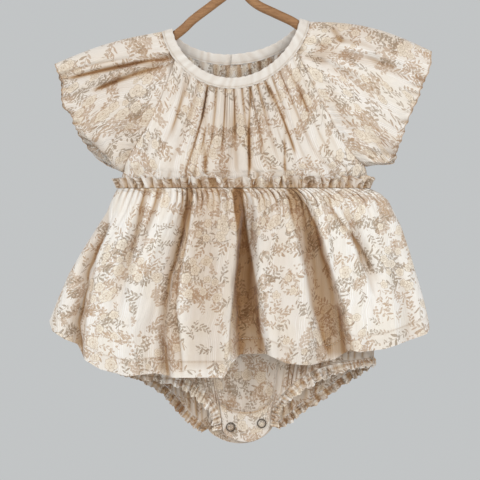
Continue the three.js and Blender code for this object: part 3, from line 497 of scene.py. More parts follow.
skirtCreases = {
    -1: [(-71, -178, -108, -316, -14, 1.8, 7, 0.25), (-18, -178, -8, -300, 3, 1.3, 6, 0.3),
         (72, -178, 112, -325, 3, 1.5, 7, 0.3), (84, -190, 128, -262, 6, 1.6, 7, 0.25),
         (143, -262, 156, -318, 0, 1.4, 7, 0.35), (-52, -190, -64, -330, -3, -0.9, 9, 0.3),
         (-38, -180, -44, -280, 0, 0.9, 6, 0.35), (28, -186, 44, -330, 2, -0.9, 8, 0.35),
         (60, -184, 88, -320, 2, -0.8, 7, 0.35), (-160, -270, -184, -312, -2, 1.4, 8, 0.35),
         (-130, -200, -158, -290, -3, 1.2, 7, 0.35), (160, -210, 172, -300, 2, -1.2, 8, 0.3)],
    1: [(-60, -180, -74, -320, -2, 1.5, 8, 0.3), (0, -180, 2, -320, 2, 1.4, 8, 0.3),
        (64, -180, 84, -320, 2, 1.4, 8, 0.3), (-120, -200, -150, -300, -3, -1.2, 8, 0.3)],
}


skirtValleys = {      # deep, soft left, soft right, then z, left, right, and how dark the painted shade is
    -1: [(3.0, 7, 1.6, [(-170, -53, -47, 1.3), (-195, -58, -48.5, 1.2), (-215, -61, -51, 0.85), (-232, -68, -54, 0.62),
                        (-257, -74, -60, 0.6), (-290, -77, -62.5, 0.6), (-315, -79, -59, 0.55), (-348, -81, -56, 0.4)]),
         (3.0, 1.6, 1.8, [(-170, -7.5, 3, 1.5), (-192, -6, 5, 1.4), (-205, -4, 6.5, 1.3), (-222, -3.5, 9, 1.1), (-238, -4, 12, 1.05),
                          (-255, -5.5, 15.5, 1.05), (-272, -7, 18, 1.05), (-288, -9, 19, 0.95), (-310, -11, 21, 0.7),
                          (-332, -12, 28, 0.45)]),
         (0.8, 9, 9, [(-160, -44, -20, 0.5), (-240, -52, -18, 0.5), (-345, -54, -14, 0.36)]),
         (0.4, 12, 12, [(-160, 8, 42, 0.32), (-240, 18, 56, 0.24), (-345, 34, 80, 0.18)]),
         (1.6, 1.2, 1.5, [(-175, -26, -5, 0.25), (-205, -20.5, -3, 0.36), (-240, -20.5, -4, 0.36),
                          (-270, -20, -7, 0.34), (-300, -17, -10, 0.25), (-320, -14, -11, 0.1)]),
         (3.4, 3, 1.5, [(-170, 46, 59, 1.0), (-195, 50, 72, 0.75), (-216, 56, 81.5, 0.66), (-234, 60, 87, 0.64),
                        (-257, 65.5, 93.6, 0.62), (-286, 70.5, 103, 0.62), (-310, 78, 109, 0.6), (-334, 86, 114, 0.5)]),
         (2.0, 2.2, 1.5, [(-170, -97, -90, 0.7), (-184, -101, -94, 0.65), (-204, -104, -97.5, 0.5),
                          (-224, -109, -102, 0.35), (-244, -113, -107, 0.05)]),
         (2.0, 2.2, 1.5, [(-170, -83, -77, 0.7), (-185, -87, -81, 0.65), (-200, -93, -86.5, 0.5),
                          (-222, -100, -94, 0.32), (-235, -104, -99, 0.05)]),
         (2.4, 9, 1.5, [(-187, -140, -131, 0.2), (-208, -148, -131.6, 0.36), (-235, -156, -143, 0.4),
                        (-265, -162, -145.5, 0.42), (-298, -168, -152.5, 0.5), (-325, -168, -155, 0.5)]),
         (1.8, 3, 1.3, [(-185, 86, 91, 0.35), (-201, 96, 101, 0.5), (-216, 108, 114, 0.55), (-225, 115, 121, 0.5),
                        (-244, 125, 131.5, 0.4), (-257, 131, 137, 0.05)])],
    1: [(3, 2, 4, [(-170, -6, 4, 0.8), (-240, -8, 12, 0.7), (-340, -10, 22, 0.5)]),
        (2.5, 4, 1.8, [(-170, 50, 58, 0.7), (-240, 60, 78, 0.6), (-330, 78, 104, 0.45)]),
        (2.5, 1.8, 5, [(-170, -62, -54, 0.7), (-240, -82, -66, 0.6), (-330, -104, -80, 0.45)])],
}


def skirtPoints(face, a, v, look=None):
    drop = v * np.interp(a, *np.array(skirtHem[face]).T)
    sides = np.array(skirtSides).T
    x = lerp(np.interp(drop, sides[0], sides[1]), np.interp(drop, sides[0], sides[2]), a)
    edge = lens(a, 8)
    depths = np.array(skirtDepth).T
    depth = np.interp(v, depths[0], depths[1 if face < 0 else 2]) * lens(a)
    foldDepthAndShade = np.zeros(np.broadcast(a, v).shape)
    for top, hem, deep, left, right, start, stop, crispLeft, crispRight in skirtFolds[face]:
        off = a - lerp(top, hem, v ** 0.8) - 0.004 * wander(9 * v, 40 * top)
        width = np.where(off < 0, left, right) * lerp(0.55, 1, v)
        shown = smooth(start, start + 0.36, v) * (1 - smooth(stop - 0.4, stop, v))
        crisp = np.where(off < 0, crispLeft, crispRight)
        foldDepthAndShade = foldDepthAndShade + deep * shown * edge * np.exp(-np.minimum(np.abs(off / width), 3) ** crisp)
    depth = depth - foldDepthAndShade + gather(a, v, 18 if face < 0 else 14, 0.16) * edge * smooth(-0.02, 0.06, v)
    z = waistZ - gap - drop
    if look is None:
        return pile(x, face * (gap / 2 + depth), z)
    seed = look["seed"]
    tall = 0.75 + 0.5 * wander(19 * a, seed)
    fine = pleat(tau * (look["fine"] * a + 0.9 * wander(6 * a, seed) + 0.3 * v), 1.4)
    extra = 2.2 * tall * fine * np.exp(-v / 0.09)
    # painted shade in the gathers' troughs just below the waist seam
    gatherTroughShade = 0.8 * smooth(0.15, -0.7, fine) * np.exp(-v / 0.075) * (0.75 + 0.6 * wander(27 * a, seed + 11))
    long = 0.5 + 0.5 * wander(15 * a, seed + 8)
    extra = extra + 1.3 * long * pleat(tau * (23 * a + 0.8 * wander(8 * a, seed + 3)), 1.5) * np.exp(-v / 0.3)
    extra = extra + 0.6 * wander(60 * a + 2 * v, seed + 1) * smooth(0.1, 0.5, v)
    extra = extra + 1.1 * wander(26 * a, seed + 4) * smooth(0.8, 1, v)
    fromHem = (1 - v) * np.interp(a, *np.array(skirtHem[face]).T)
    pucker = 0.22 * np.sin(tau * (62 * a + 0.8 * wander(9 * a, seed + 7)))
    extra = extra + 0.3 * smooth(hemWide + 0.6, hemWide - 0.6, fromHem) + pucker * np.exp(-((fromHem - hemWide) / 4) ** 2)
    extra = extra - 0.3 * np.exp(-((fromHem - hemWide) / 0.9) ** 2)
    point = pile(x, face * (gap / 2 + depth), z)
    down, shade = valleyFloors(point, skirtValleys[face])
    extra = extra + handFolds(point, skirtCreases[face]) - down * smooth(0, 0.12, v)
    point[..., 1] += face * extra * edge * smooth(0, 0.03, v)
    # painted shade along the hem's fold line, and a little over the turned hem
    hemLine = 0.3 * np.exp(-((fromHem - hemWide) / 0.9) ** 2) + 0.08 * (fromHem < hemWide)
    hollow = hollowOf(point, face, 5, full=lerp(1.3, 2.4, smooth(0.05, 0.25, v)))
    # the painted shade: from the folds' depth, the hollows, the valley floors, the hem and the gathers' troughs
    return point, np.clip(0.25 * np.clip(foldDepthAndShade / 13, 0, 1) + 0.6 * hollow + shade + hemLine + gatherTroughShade, 0, 1.5)


def buildSkirt(face):
    look = skirtLook[face]
    v = np.linspace(0, 1, look["rows"] + 1)[:, None]
    a = evenly(lambda share: skirtPoints(face, share, 0.6), look["columns"] + 1)[None, :]
    points, foldDepthAndShade = skirtPoints(face, a, v, look)
    flat = cutOf(points, int(look["rows"] * 0.6), 0.5) + (600 - 700 * (face > 0), 0)
    return makeCloth(look["name"], points, flat, 0.8, face=face, values={"foldDepthAndShade": foldDepthAndShade}), points


# Frill that stands up round the waist above the seam
frillSize = {"height": 10.6, "wave": 3.7, "flare": 3.2, "away": 2.3, "columns": 1100, "rows": 12, "waves": 208}


def buildFrill():
    s, share = np.linspace(0, 1, frillSize["columns"] + 1)[None, :], np.linspace(1, 0, frillSize["rows"] + 1)[:, None]
    i = s * frillSize["waves"]
    free = np.sin(np.pi * s) ** 0.3      # both ends meet at the side
    phase = np.pi / 2 * i + 2.3 * wander(i / 6.1, 1.2) * free + 0.9 * share * wander(i / 2.9, 5.0) * free
    lean = (0.5 + 0.45 * wander(i / 3.7, 2.0)) * share ** 1.5
    swing = s - lean / frillSize["waves"] * np.sin(2 * phase + 0.8) * free
    a = np.clip(np.where(s < 0.5, crowd(2 * swing, 0.3), crowd(2 - 2 * swing, 0.3)), 0, 1)
    face = np.where(s < 0.5, -1, 1)
    front, back = waistPoint(a, -1, -frillSize["away"]), waistPoint(a, 1, -frillSize["away"])
    point = np.where((face < 0)[..., None], front, back)
    out = unit(pile((a - 0.5) * 2, face * lens(a), 0))
    calm = 1 - 0.6 * np.exp(-((a - 0.77) / 0.05) ** 2) * (face < 0)
    lively = calm * np.clip(0.9 + 0.8 * wander(i / 3.3, 3.0), 0.2, 1.7)
    crumple = 0.8 * smooth(0.1, 0.7, share) * wander(i * 1.7, 2.0) + 0.6 * np.sin(2.6 * phase + 4 * share)
    push = lerp(0.2, frillSize["flare"], share ** 1.3) + lerp(0.35, frillSize["wave"], share) * np.sin(phase) * lively
    point = point + out * (push + crumple * free)[..., None]
    curl = 1.9 * smooth(0.35, 1, share) * np.cos(phase + 1.3 * wander(i / 2.3, 6.0)) * free
    tall = frillSize["height"] * (0.96 + 0.1 * wander(i / 4.1, 4.0) + 0.07 * wander(i / 1.3, 8.0) * free)
    point[..., 2] = waistZ + gap + tall * share + curl
    point[:, -1] = point[:, 0]
    flat = cutOf(point, frillSize["rows"] - 1, 1.0) + (0, 1500)
    # painted shade: darker in the frill's troughs and down by the seam, lighter on its crests and curls
    shade = 0.56 - 0.38 * np.sin(phase) * lively + 0.3 * (1 - share) ** 2 - 0.18 * crumple + 0.14 * wander(i / 5, 7.0) - 0.12 * curl
    values = {"foldDepthAndShade": np.clip(shade, 0.04, 1)}
    return makeCloth("waistFrill", point, flat, 0.7, ring=True, values=values), point


# Leg openings, from the front of the crotch round the hip to its back: seam x, z, free edge x, z, deep
legRows = {
    -1: [(-17.5, -411, -27, -412, -3.4), (-20, -396, -28.5, -400, -5), (-32, -375, -38, -385, -8),
         (-46, -363, -51, -374, -10), (-63, -356, -65, -366, -11), (-94, -352, -95, -360.5, -10),
         (-113, -348.5, -114, -357, -6), (-119, -346, -121, -355, 0), (-112, -349, -115, -357.5, 5),
         (-98, -354, -102, -362, 9), (-76, -367, -81, -375, 11), (-63, -380, -69, -387, 10),
         (-53, -392, -59, -399, 8), (-42, -401, -47, -409, 5.5), (-32, -410, -39, -414, 2.4)],
    1: [(30, -407, 38.5, -408, -3.4), (32.5, -391, 40, -394, -5), (41, -377, 49, -382, -8),
        (57, -361, 63, -372, -10), (84, -347, 88, -358, -11), (110, -341, 112, -350, -10),
        (127, -338.5, 130, -346.5, -7.5), (134.5, -337.5, 137, -345.5, 0), (128, -342, 131, -350, 6.5),
        (117, -349, 121, -357, 9), (102, -359, 107, -366, 11), (79, -375, 84, -382, 10),
        (61, -386, 66, -393, 8), (48, -396.5, 52, -404, 5.5), (33, -407, 40, -411, 2.4)],
}
legBand = {"waves": 104, "wave": 1.5, "fromSeam": 0.3, "columns": 620, "rows": 14}
crotch = {"frontZ": -423, "frontDeep": -2.2, "backZ": -425, "backDeep": 0.9}


def legSeam(side):
    return np.array([(x, deep, z) for x, z, outX, outZ, deep in legRows[side]], float)


def legEdge(side):
    return np.array([(outX, deep, outZ) for x, z, outX, outZ, deep in legRows[side]], float)


def buildLegBand(side):
    q, share = np.linspace(0, 1, legBand["columns"] + 1), np.linspace(0, 1, legBand["rows"] + 1)[:, None]
    inner, outer = curveAt(legSeam(side), q), curveAt(legEdge(side), q)
    along = unit(curveAt(legSeam(side), q + 1e-4) - curveAt(legSeam(side), q - 1e-4))
    down = outer - inner
    length = np.linalg.norm(down, axis=-1)
    out = unit(np.cross(along, down))
    i = q * legBand["waves"]
    phase = np.pi / 2 * i + 0.7 * np.sin(i / 7) + 1.1 * wander(i / 4.7, 9.0 + side)
    wave = np.sin(phase)
    start = legBand["fromSeam"] / length
    front = smooth(0.56, 0.44, q)      # fine puckers in front, wide scallops at the back
    lively = 1 + 0.45 * wander(i / 4.3, 2.0 + side)
    reach = lerp(start, 1, share) + 0.09 * wave * share + 0.05 * np.sin(2.7 * phase) * share ** 3 + 0.05 * share * wander(i / 2.1, 6.0)
    point = inner + down * reach[..., None]
    point = point + out * (legBand["wave"] * lerp(0.6, 1, share) * wave * lively * (1 - 0.45 * front))[..., None]
    small = np.sin(2.2 * phase + 1.3 * wander(i / 3.3, 4.0))
    fine = (0.6 + 0.35 * front) * small * np.exp(-((share - 0.5) / 0.4) ** 2) - 0.6 * np.exp(-((share - 0.4) / 0.12) ** 2)
    point = point + out * fine[..., None] - along * (0.5 * share * np.sin(2 * phase))[..., None]
    name = "legBandLeft" if side < 0 else "legBandRight"
    flat = cutOf(point, legBand["rows"], 1.0) + (100 + 300 * side, 1800)
    # painted shade: darker between the puckers, along the groove and on the back half, lighter at the front's free edge
    shade = 0.4 - 0.26 * wave * lively * (1 - 0.55 * front) - (0.18 + 0.08 * front) * small + 0.25 * smooth(0.45, 0.6, q) + 0.3 * np.exp(-((share - 0.4) / 0.12) ** 2)
    edge = smooth(0.86, 1, share) * smooth(0.55, 0.4, q)
    return makeCloth(name, point, flat, 0.8, values={"foldDepthAndShade": np.clip(shade * (1 - 0.8 * edge), 0, 1.1)}), point


# Bloomers under the skirt, from the waist to the leg seams and the crotch
bloomerSize = {"inward": 1.9, "hip": 4, "ripple": 1.6, "ripples": 9, "legShare": 13 / 36, "hipRow": 7}
bloomerDepth = [(0, 15.1, 11.1), (0.06, 8, 7), (0.12, 6, 6), (0.48, 6, 6), (0.62, 8.5, 8), (1, 11, 10)]
# shade is an even painted shade on each bloomer piece, which hangs in the skirt's shadow
bloomerLook = {
    -1: {"name": "bloomerFront", "node": "bloomer_front", "columns": 300, "rows": 80, "seed": 3.0, "shade": 0.45,
         "gathers": 50, "gatherHeight": 1.7},
    1: {"name": "bloomerBack", "node": "bloomer_back", "columns": 240, "rows": 74, "seed": 5.0, "shade": 0.5,
        "gathers": 29, "gatherHeight": 1.5},
}


def bloomerGrid(face, u, v, look=None):
    left, right = legSeam(-1), legSeam(1)
    hip, end = bloomerSize["hipRow"] / (len(left) - 1), 0.0 if face < 0 else 1.0
    share = bloomerSize["legShare"]
    low = np.zeros((len(u), 3))
    for seam, part in ((left, u / share), (right, (1 - u) / share)):
        fine = np.linspace(0, 1, 401)
        line = curveAt(seam, lerp(hip, end, fine)) * (1, 0, 0.6)
        run = np.concatenate([[0], np.cumsum(np.linalg.norm(np.diff(line, axis=0), axis=1))])
        at = np.interp(np.clip(part, 0, 1) * run[-1], run, fine)
        inside = (part <= 1)[:, None]
        low = np.where(inside, curveAt(seam, lerp(hip, end, at)), low)
    mid = np.clip((u - share) / (1 - 2 * share), 0, 1)
    arch = np.sin(np.pi * mid) ** 0.6
    between = lerp(curveAt(left, end), curveAt(right, end), mid[:, None])
    between[:, 2] = lerp(between[:, 2], crotch["frontZ" if face < 0 else "backZ"], arch)
    between[:, 1] = lerp(between[:, 1], crotch["frontDeep" if face < 0 else "backDeep"], arch)
    low = np.where(((u >= share) & (u <= 1 - share))[:, None], between, low)[None]
    u, v = u[None, :], v[:, None]
    a = crowd(u, 0.5)
    point = lerp(waistPoint(a, face, bloomerSize["inward"], waistZ - 2 * gap), low, v[..., None])
    side = np.abs(2 * u - 1)
    point[..., 0] += np.sign(u - 0.5) * bloomerSize["hip"] * np.sin(np.pi * v) * side ** 4
    depths = np.array(bloomerDepth).T
    depth = face * (gap / 2 + np.interp(v, depths[0], depths[1 if face < 0 else 2]) * lens(a))
    ripple = bloomerSize["ripple"] * np.sin(np.pi * v) * (1 - v) * lens(a) * np.cos(tau * bloomerSize["ripples"] * u)
    point[..., 1] = lerp(depth, low[..., 1], smooth(0.5, 1, v)) + face * ripple
    if look:
        seed = look["seed"]
        onLeg = smooth(share + 0.02, share - 0.05, np.minimum(u, 1 - u))
        fine = pleat(tau * (look["gathers"] * u + 1.2 * wander(9 * u, seed)), 1.3) * smooth(0.7, 0.96, v) * onLeg
        wide = wander(24 * u + 2 * v, seed + 2) * np.sin(np.pi * v) ** 0.5
        slack = wander(31 * v + 5 * u, seed + 4) * smooth(0.62, 0.8, v) * (1 - onLeg)
        extra = look["gatherHeight"] * fine * (0.8 + 0.4 * wander(30 * u, seed)) + 1.1 * wide * lens(v, 10) + 0.8 * slack * lens(v, 10)
        extra = extra * smooth(1.0, 0.985, v)
        point[..., 1] += face * extra * np.minimum(1, 3 * lens(u, 5)) * smooth(0, 0.1, lens(u, 5))
    return point


def buildBloomer(face):
    look = bloomerLook[face]
    u, v = np.linspace(0, 1, look["columns"] + 1), np.linspace(0, 1, look["rows"] + 1)
    points = bloomerGrid(face, u, v, look)
    flat = cutOf(points, look["rows"] // 2, 0.5) + (400 * face, 2300)
    # painted shade: the even shade under the skirt, and more in the gathers' hollows
    values = {"foldDepthAndShade": look["shade"] + 0.8 * hollowOf(points, face, 6, full=1.8)}
    return makeCloth(look["name"], points, flat, 0.8, face=face, values=values), points


def liftOff(grid, distance):
    return grid + normalsOf(grid) * distance


def buildCrotchPlacket():
    u, v = np.linspace(13 / 36, 23 / 36, 61), np.linspace(0.88, 1, 25)
    points = liftOff(bloomerGrid(-1, u, v), -(clothWall + gap + 0.05))
    flat = cutOf(points, 12, 1) + (0, 2700)
    # painted shade over the placket, and a dark line along its upper edge
    values = {"foldDepthAndShade": 0.26 + 0.5 * np.exp(-((v - 0.885) / 0.006) ** 2)[:, None]}
    return makeCloth("crotchPlacket", points, flat, 0.9, values=values), points


def buildBackPlacket():
    u, v = np.linspace(20 / 42, 22 / 42, 17), np.linspace(0, 0.5, 61)
    points = liftOff(bodiceGrid(1, u, v), clothWall + gap)
    flat = cutOf(points, 30, 1) + (700, 2700)
    # an even painted shade over the placket
    return makeCloth("backPlacket", points, flat, 0.9, values={"foldDepthAndShade": 0.15}), points


# Folded bias strip round the neck, its ends lapped at the back
def buildBinding():
    lapTurn = math.degrees(bindingSize["overlap"] / 2 / neck["halfWidth"])
    t = np.linspace(0, 1, 481)
    turn = lerp(90 - lapTurn, 450 + lapTurn, t)
    along = unit(neckRing(turn + 0.5) - neckRing(turn - 0.5))
    down = neckDown(turn)
    out = unit(np.cross(down, along))
    lapped = bindingSize["step"] * (1 - smooth(0, 0.07, t)) - bindingSize["step"] * smooth(0.93, 1, t)
    centre = neckRing(turn) + out * lapped[:, None]
    run = np.concatenate([[0], np.cumsum(np.linalg.norm(np.diff(centre, axis=0), axis=1))])
    angle = np.linspace(0, tau, 25)[None, :]
    wide, thick = bindingSize["width"] / 2 + gap, bindingSize["thick"] / 2
    w = np.sign(np.cos(angle)) * np.abs(np.cos(angle)) ** 0.62 * wide
    h = np.sign(np.sin(angle)) * np.abs(np.sin(angle)) ** 0.5 * thick
    slant = tau * (run[:, None] + 0.35 * w) / 8.6 + 2.4 * wander(run[:, None] / 17, 1.0)
    lively = 0.8 + 0.8 * wander(run[:, None] / 7.3, 3.0)
    puff = 1 + 0.17 * lively * np.sin(slant) * (1 - 0.4 * np.abs(w) / wide) + 0.07 * np.sin(2.3 * slant)
    sewn = 1 - 0.34 * np.exp(-((w - 0.66 * wide) / 0.8) ** 2)
    h = h * puff * sewn * 0.9
    w = w + 0.25 * np.sin(slant * 1.02 + 1) * (np.abs(w) / wide) ** 4
    points = centre[:, None] + down[:, None] * w[..., None] + out[:, None] * h[..., None]
    points[:, -1] = points[:, 0]
    girth = np.concatenate([[0], np.cumsum(np.linalg.norm(np.diff(points[240], axis=0), axis=1))])
    flat = np.stack(np.broadcast_arrays(run[:, None], girth[None, :]), -1)
    # painted shade between the puckers and in the groove of the sewn line
    shade = 0.3 - 0.14 * lively * np.sin(slant + 0.6) + 0.45 * np.exp(-((w - 0.66 * wide) / 0.7) ** 2)
    piece = addGrid("neckBinding", points, flat, {"foldDepthAndShade": np.clip(shade, 0, 1)})
    bpy.ops.object.mode_set(mode="EDIT")
    bpy.ops.mesh.select_all(action="SELECT")
    bpy.ops.mesh.remove_doubles(threshold=2e-6)
    bpy.ops.mesh.fill_holes(sides=0)
    bpy.ops.mesh.normals_make_consistent(inside=False)
    bpy.ops.object.mode_set(mode="OBJECT")
    bpy.ops.object.shade_smooth_by_angle(angle=math.radians(60))
    return piece, points, (centre, down, out, run)


# Sewing: one row of small stitches along a line, with the way out of the cloth at each of its points
stitch = {"pitch": 3.0, "long": 2.2, "thick": 0.24, "lift": 0.15, "sides": 6}


def addStitches(name, line, out):
    run = np.concatenate([[0], np.cumsum(np.linalg.norm(np.diff(line, axis=0), axis=1))])
    middle = np.arange(stitch["pitch"] / 2, run[-1] - stitch["long"] / 2, stitch["pitch"])

    def at(distance, values):
        return np.stack([np.interp(distance, run, values[:, i]) for i in range(3)], -1)

    along = unit(at(middle + 0.5, line) - at(middle - 0.5, line))
    away = unit(at(middle, out))
    across = unit(np.cross(along, away))
    t = np.array([-0.5, -0.42, -0.2, 0.2, 0.42, 0.5])
    size, height = np.array([0.35, 0.8, 1, 1, 0.8, 0.35]), np.array([-1.4, 0.1, 0.7, 0.7, 0.1, -1.4])
    turn = tau * np.arange(stitch["sides"]) / stitch["sides"]
    rings = (at(middle, line)[:, None, None] + along[:, None, None] * (t * stitch["long"])[None, :, None, None]
             + away[:, None, None] * (height * stitch["lift"])[None, :, None, None]
             + (across[:, None, None] * np.cos(turn)[None, None, :, None] + away[:, None, None]
                * np.sin(turn)[None, None, :, None]) * (size * stitch["thick"])[None, :, None, None])
    count, steps, sides = rings.shape[:3]
    first = (np.arange(count) * steps * sides)[:, None, None]
    corner = first + np.arange(steps - 1)[None, :, None] * sides + np.arange(sides)[None, None, :]
    after = first + np.arange(steps - 1)[None, :, None] * sides + (np.arange(sides)[None, None, :] + 1) % sides
    walls = np.stack([corner, after, after + sides, corner + sides], -1).reshape(-1, 4)
    ends = np.concatenate([first[:, 0] + np.arange(sides)[::-1], first[:, 0] + (steps - 1) * sides + np.arange(sides)])
    mesh = bpy.data.meshes.new(name)
    mesh.from_pydata(toPlace(rings.reshape(-1, 3)).tolist(), [], walls.tolist() + ends.tolist())
    mesh.validate()
    piece = bpy.data.objects.new(name, mesh)
    bpy.context.collection.objects.link(piece)
    deselect()
    bpy.context.view_layer.objects.active = piece
    piece.select_set(True)
    bpy.ops.object.mode_set(mode="EDIT")
    bpy.ops.mesh.select_all(action="SELECT")
    bpy.ops.mesh.normals_make_consistent(inside=False)
    bpy.ops.object.mode_set(mode="OBJECT")
    bpy.ops.object.shade_smooth_by_angle(angle=math.radians(60))
    return piece


def hemLine(face):
    look = skirtLook[face]
    a = np.linspace(0.02, 0.98, 700)
    v = 1 - hemWide / np.interp(a, *np.array(skirtHem[face]).T)
    line = skirtPoints(face, a[None], v[None], look)[0][0]
    return line + (0, face * 0.5, 0), np.tile((0.0, face, 0.0), (len(a), 1))


def sewAll(grids, bindingLine):
    centre, down, out, run = bindingLine
    low = centre + down * 0.66 * (bindingSize["width"] / 2 + gap) + out * 0.72
    crotchOut, backOut = -normalsOf(grids["crotchPlacket"]), normalsOf(grids["backPlacket"])
    rows = {"bindingStitches": (low[6:-6], out[6:-6]), "hemStitchesFront": hemLine(-1), "hemStitchesBack": hemLine(1),
            "crotchStitches": ((grids["crotchPlacket"] + crotchOut * 0.5)[2, 2:-2], crotchOut[2, 2:-2])}
    for name, place in (("backStitchesLeft", 2), ("backStitchesRight", -3)):
        rows[name] = ((grids["backPlacket"] + backOut * 0.5)[1:-1, place], backOut[1:-1, place])
    return {name: addStitches(name, line, away) for name, (line, away) in rows.items()}


# Hanger: two bent arms that meet in a short neck, and a wire hook
armRows = [[(-127, -32.5), (-112, -27), (-92, -22.5), (-74, -19), (-58, -8), (-48, 1.5), (-27, 17.5), (-11, 30.5), (-4, 42)],
           [(133, -18), (118, -12.5), (100, -9.8), (83, -8.8), (66, -7.6), (52, 0.6), (35, 8.6), (17, 17.5), (6, 28), (0, 42)]]
armSize = {"tall": 9.4, "deep": 7, "blunt": 0.45, "round": 0.05}
hookSize = {"wire": 1.6, "radius": 18, "x": -2, "centreZ": 80, "stemZ": 42, "from": -62, "to": 205}


def addRod(name, line, radii, squash=1.0):      # a round rod along a line in x and z, narrower in y by squash
    curve = bpy.data.curves.new(name, "CURVE")
    curve.dimensions, curve.bevel_depth, curve.bevel_resolution, curve.use_fill_caps = "3D", 0.001, 8, True
    spline = curve.splines.new("POLY")
    spline.points.add(len(line) - 1)
    spline.points.foreach_set("co", np.hstack([toPlace(line), np.ones((len(line), 1))]).ravel())
    spline.points.foreach_set("radius", radii)
    rod = bpy.data.objects.new(name, curve)
    bpy.context.collection.objects.link(rod)
    deselect()
    bpy.context.view_layer.objects.active = rod
    rod.select_set(True)
    bpy.ops.object.convert(target="MESH")
    rod = bpy.context.object
    bpy.ops.object.mode_set(mode="EDIT")
    bpy.ops.mesh.select_all(action="SELECT")
    bpy.ops.mesh.remove_doubles(threshold=1e-6)
    bpy.ops.transform.resize(value=(1, squash, 1), center_override=(0, 0, 0))
    bpy.ops.mesh.normals_make_consistent(inside=False)
    bpy.ops.object.mode_set(mode="OBJECT")
    return rod


def buildHanger():
    t = np.concatenate([[0, 0.002, 0.006, 0.012, 0.02, 0.03], np.linspace(0.045, 1, 70)])
    reach = np.minimum(1, armSize["blunt"] + (1 - armSize["blunt"]) * np.sqrt(np.minimum(1, t / armSize["round"])))
    reach[-3:] = 0.97, 0.88, 0.7      # rounded where the neck ends
    arms = []
    for rows in armRows:
        line = curveAt([(x, 0, z) for x, z in rows], t)
        arms.append(addRod("hangerArms", line, reach * armSize["tall"] / 2, armSize["deep"] / armSize["tall"]))
    first, second = arms
    deselect()
    bpy.context.view_layer.objects.active = first
    first.select_set(True)
    meet = first.modifiers.new("meet", "BOOLEAN")
    meet.operation, meet.object, meet.solver = "UNION", second, "EXACT"
    bpy.ops.object.modifier_apply(modifier="meet")
    bpy.data.objects.remove(second)
    bpy.ops.object.shade_smooth_by_angle(angle=math.radians(40))
    turn = np.radians(np.linspace(hookSize["from"], hookSize["to"], 11))
    ring = np.stack([hookSize["x"] + hookSize["radius"] * np.cos(turn), 0 * turn,
                     hookSize["centreZ"] + hookSize["radius"] * np.sin(turn)], -1)
    stem = [(hookSize["x"], 0, hookSize["stemZ"] + gap), (hookSize["x"], 0, hookSize["stemZ"] + 12)]
    line = curveAt(np.vstack([stem, ring]), np.linspace(0, 1, 150))
    wire = np.full(150, hookSize["wire"])
    wire[-3:] = hookSize["wire"] * np.array([0.95, 0.8, 0.5])
    hook = addRod("hangerHook", line, wire)
    bpy.ops.object.shade_smooth_by_angle(angle=math.radians(50))
    return first, hook


# Open snap rings, turned from a circle, each where the model has its snap
ringProfile = [(3.6, -0.6), (4.75, -0.6), (4.78, 0.05), (4.66, 0.4), (4.42, 0.6), (4.2, 0.52), (4.05, 0.52),
               (3.88, 0.6), (3.68, 0.42), (3.6, 0.05), (3.6, -0.6)]      # radius, height


def buildRing(name, nodeName):
    deselect()
    bpy.ops.mesh.primitive_circle_add(vertices=64, radius=ringProfile[0][0] / 1000, location=(0, 0, 0))
    piece = bpy.context.object
    piece.name = piece.data.name = name
    bpy.ops.object.mode_set(mode="EDIT")
    bpy.ops.mesh.select_all(action="SELECT")
    bpy.ops.transform.translate(value=(0, 0, ringProfile[0][1] / 1000))
    for (r, h), (nextR, nextH) in zip(ringProfile, ringProfile[1:]):
        bpy.ops.mesh.extrude_edges_move()
        bpy.ops.transform.resize(value=(nextR / r, nextR / r, 1), center_override=(0, 0, 0))
        bpy.ops.transform.translate(value=(0, 0, (nextH - h) / 1000))
    bpy.ops.mesh.select_all(action="SELECT")
    bpy.ops.mesh.remove_doubles(threshold=2e-6)
    bpy.ops.mesh.normals_make_consistent(inside=False)
    bpy.ops.object.mode_set(mode="OBJECT")
    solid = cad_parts[nodeName]
    corners = np.array([solid.matrix_world @ vertex.co for vertex in solid.data.vertices])
    middle = (corners.max(0) + corners.min(0)) / 2
    away = np.linalg.svd(corners - corners.mean(0))[2][2]      # the way the ring faces
    away = away * -np.sign(away[1])
    turn = Vector((0, 0, 1)).rotation_difference(Vector(away)).to_matrix().to_4x4()
    piece.data.transform(Matrix.Translation(Vector(middle)) @ turn)
    bpy.ops.object.shade_smooth_by_angle(angle=math.radians(40))
    return piece


pieces, grids = {}, {}
for key, build in {
    "bodiceFront": lambda: buildBodice(-1), "bodiceBack": lambda: buildBodice(1),
    "sleeveLeft": lambda: buildSleeve(-1), "sleeveRight": lambda: buildSleeve(1),
    "skirtFront": lambda: buildSkirt(-1), "skirtBack": lambda: buildSkirt(1),
    "waistFrill": buildFrill, "legBandLeft": lambda: buildLegBand(-1), "legBandRight": lambda: buildLegBand(1),
    "bloomerFront": lambda: buildBloomer(-1), "bloomerBack": lambda: buildBloomer(1),
    "crotchPlacket": buildCrotchPlacket, "backPlacket": buildBackPlacket,
}.items():
    pieces[key], grids[key] = build()
pieces["neckBinding"], grids["neckBinding"], bindingLine = buildBinding()
print("cloth made,", sum(len(p.data.polygons) for p in pieces.values()) * 2, "triangles")
sewing = sewAll(grids, bindingLine)
hangerArms, hangerHook = buildHanger()
rings = {"snap_left": buildRing("snapRingLeft", "snap_left"), "snap_right": buildRing("snapRingRight", "snap_right")}
print("sewing, hanger and rings made")


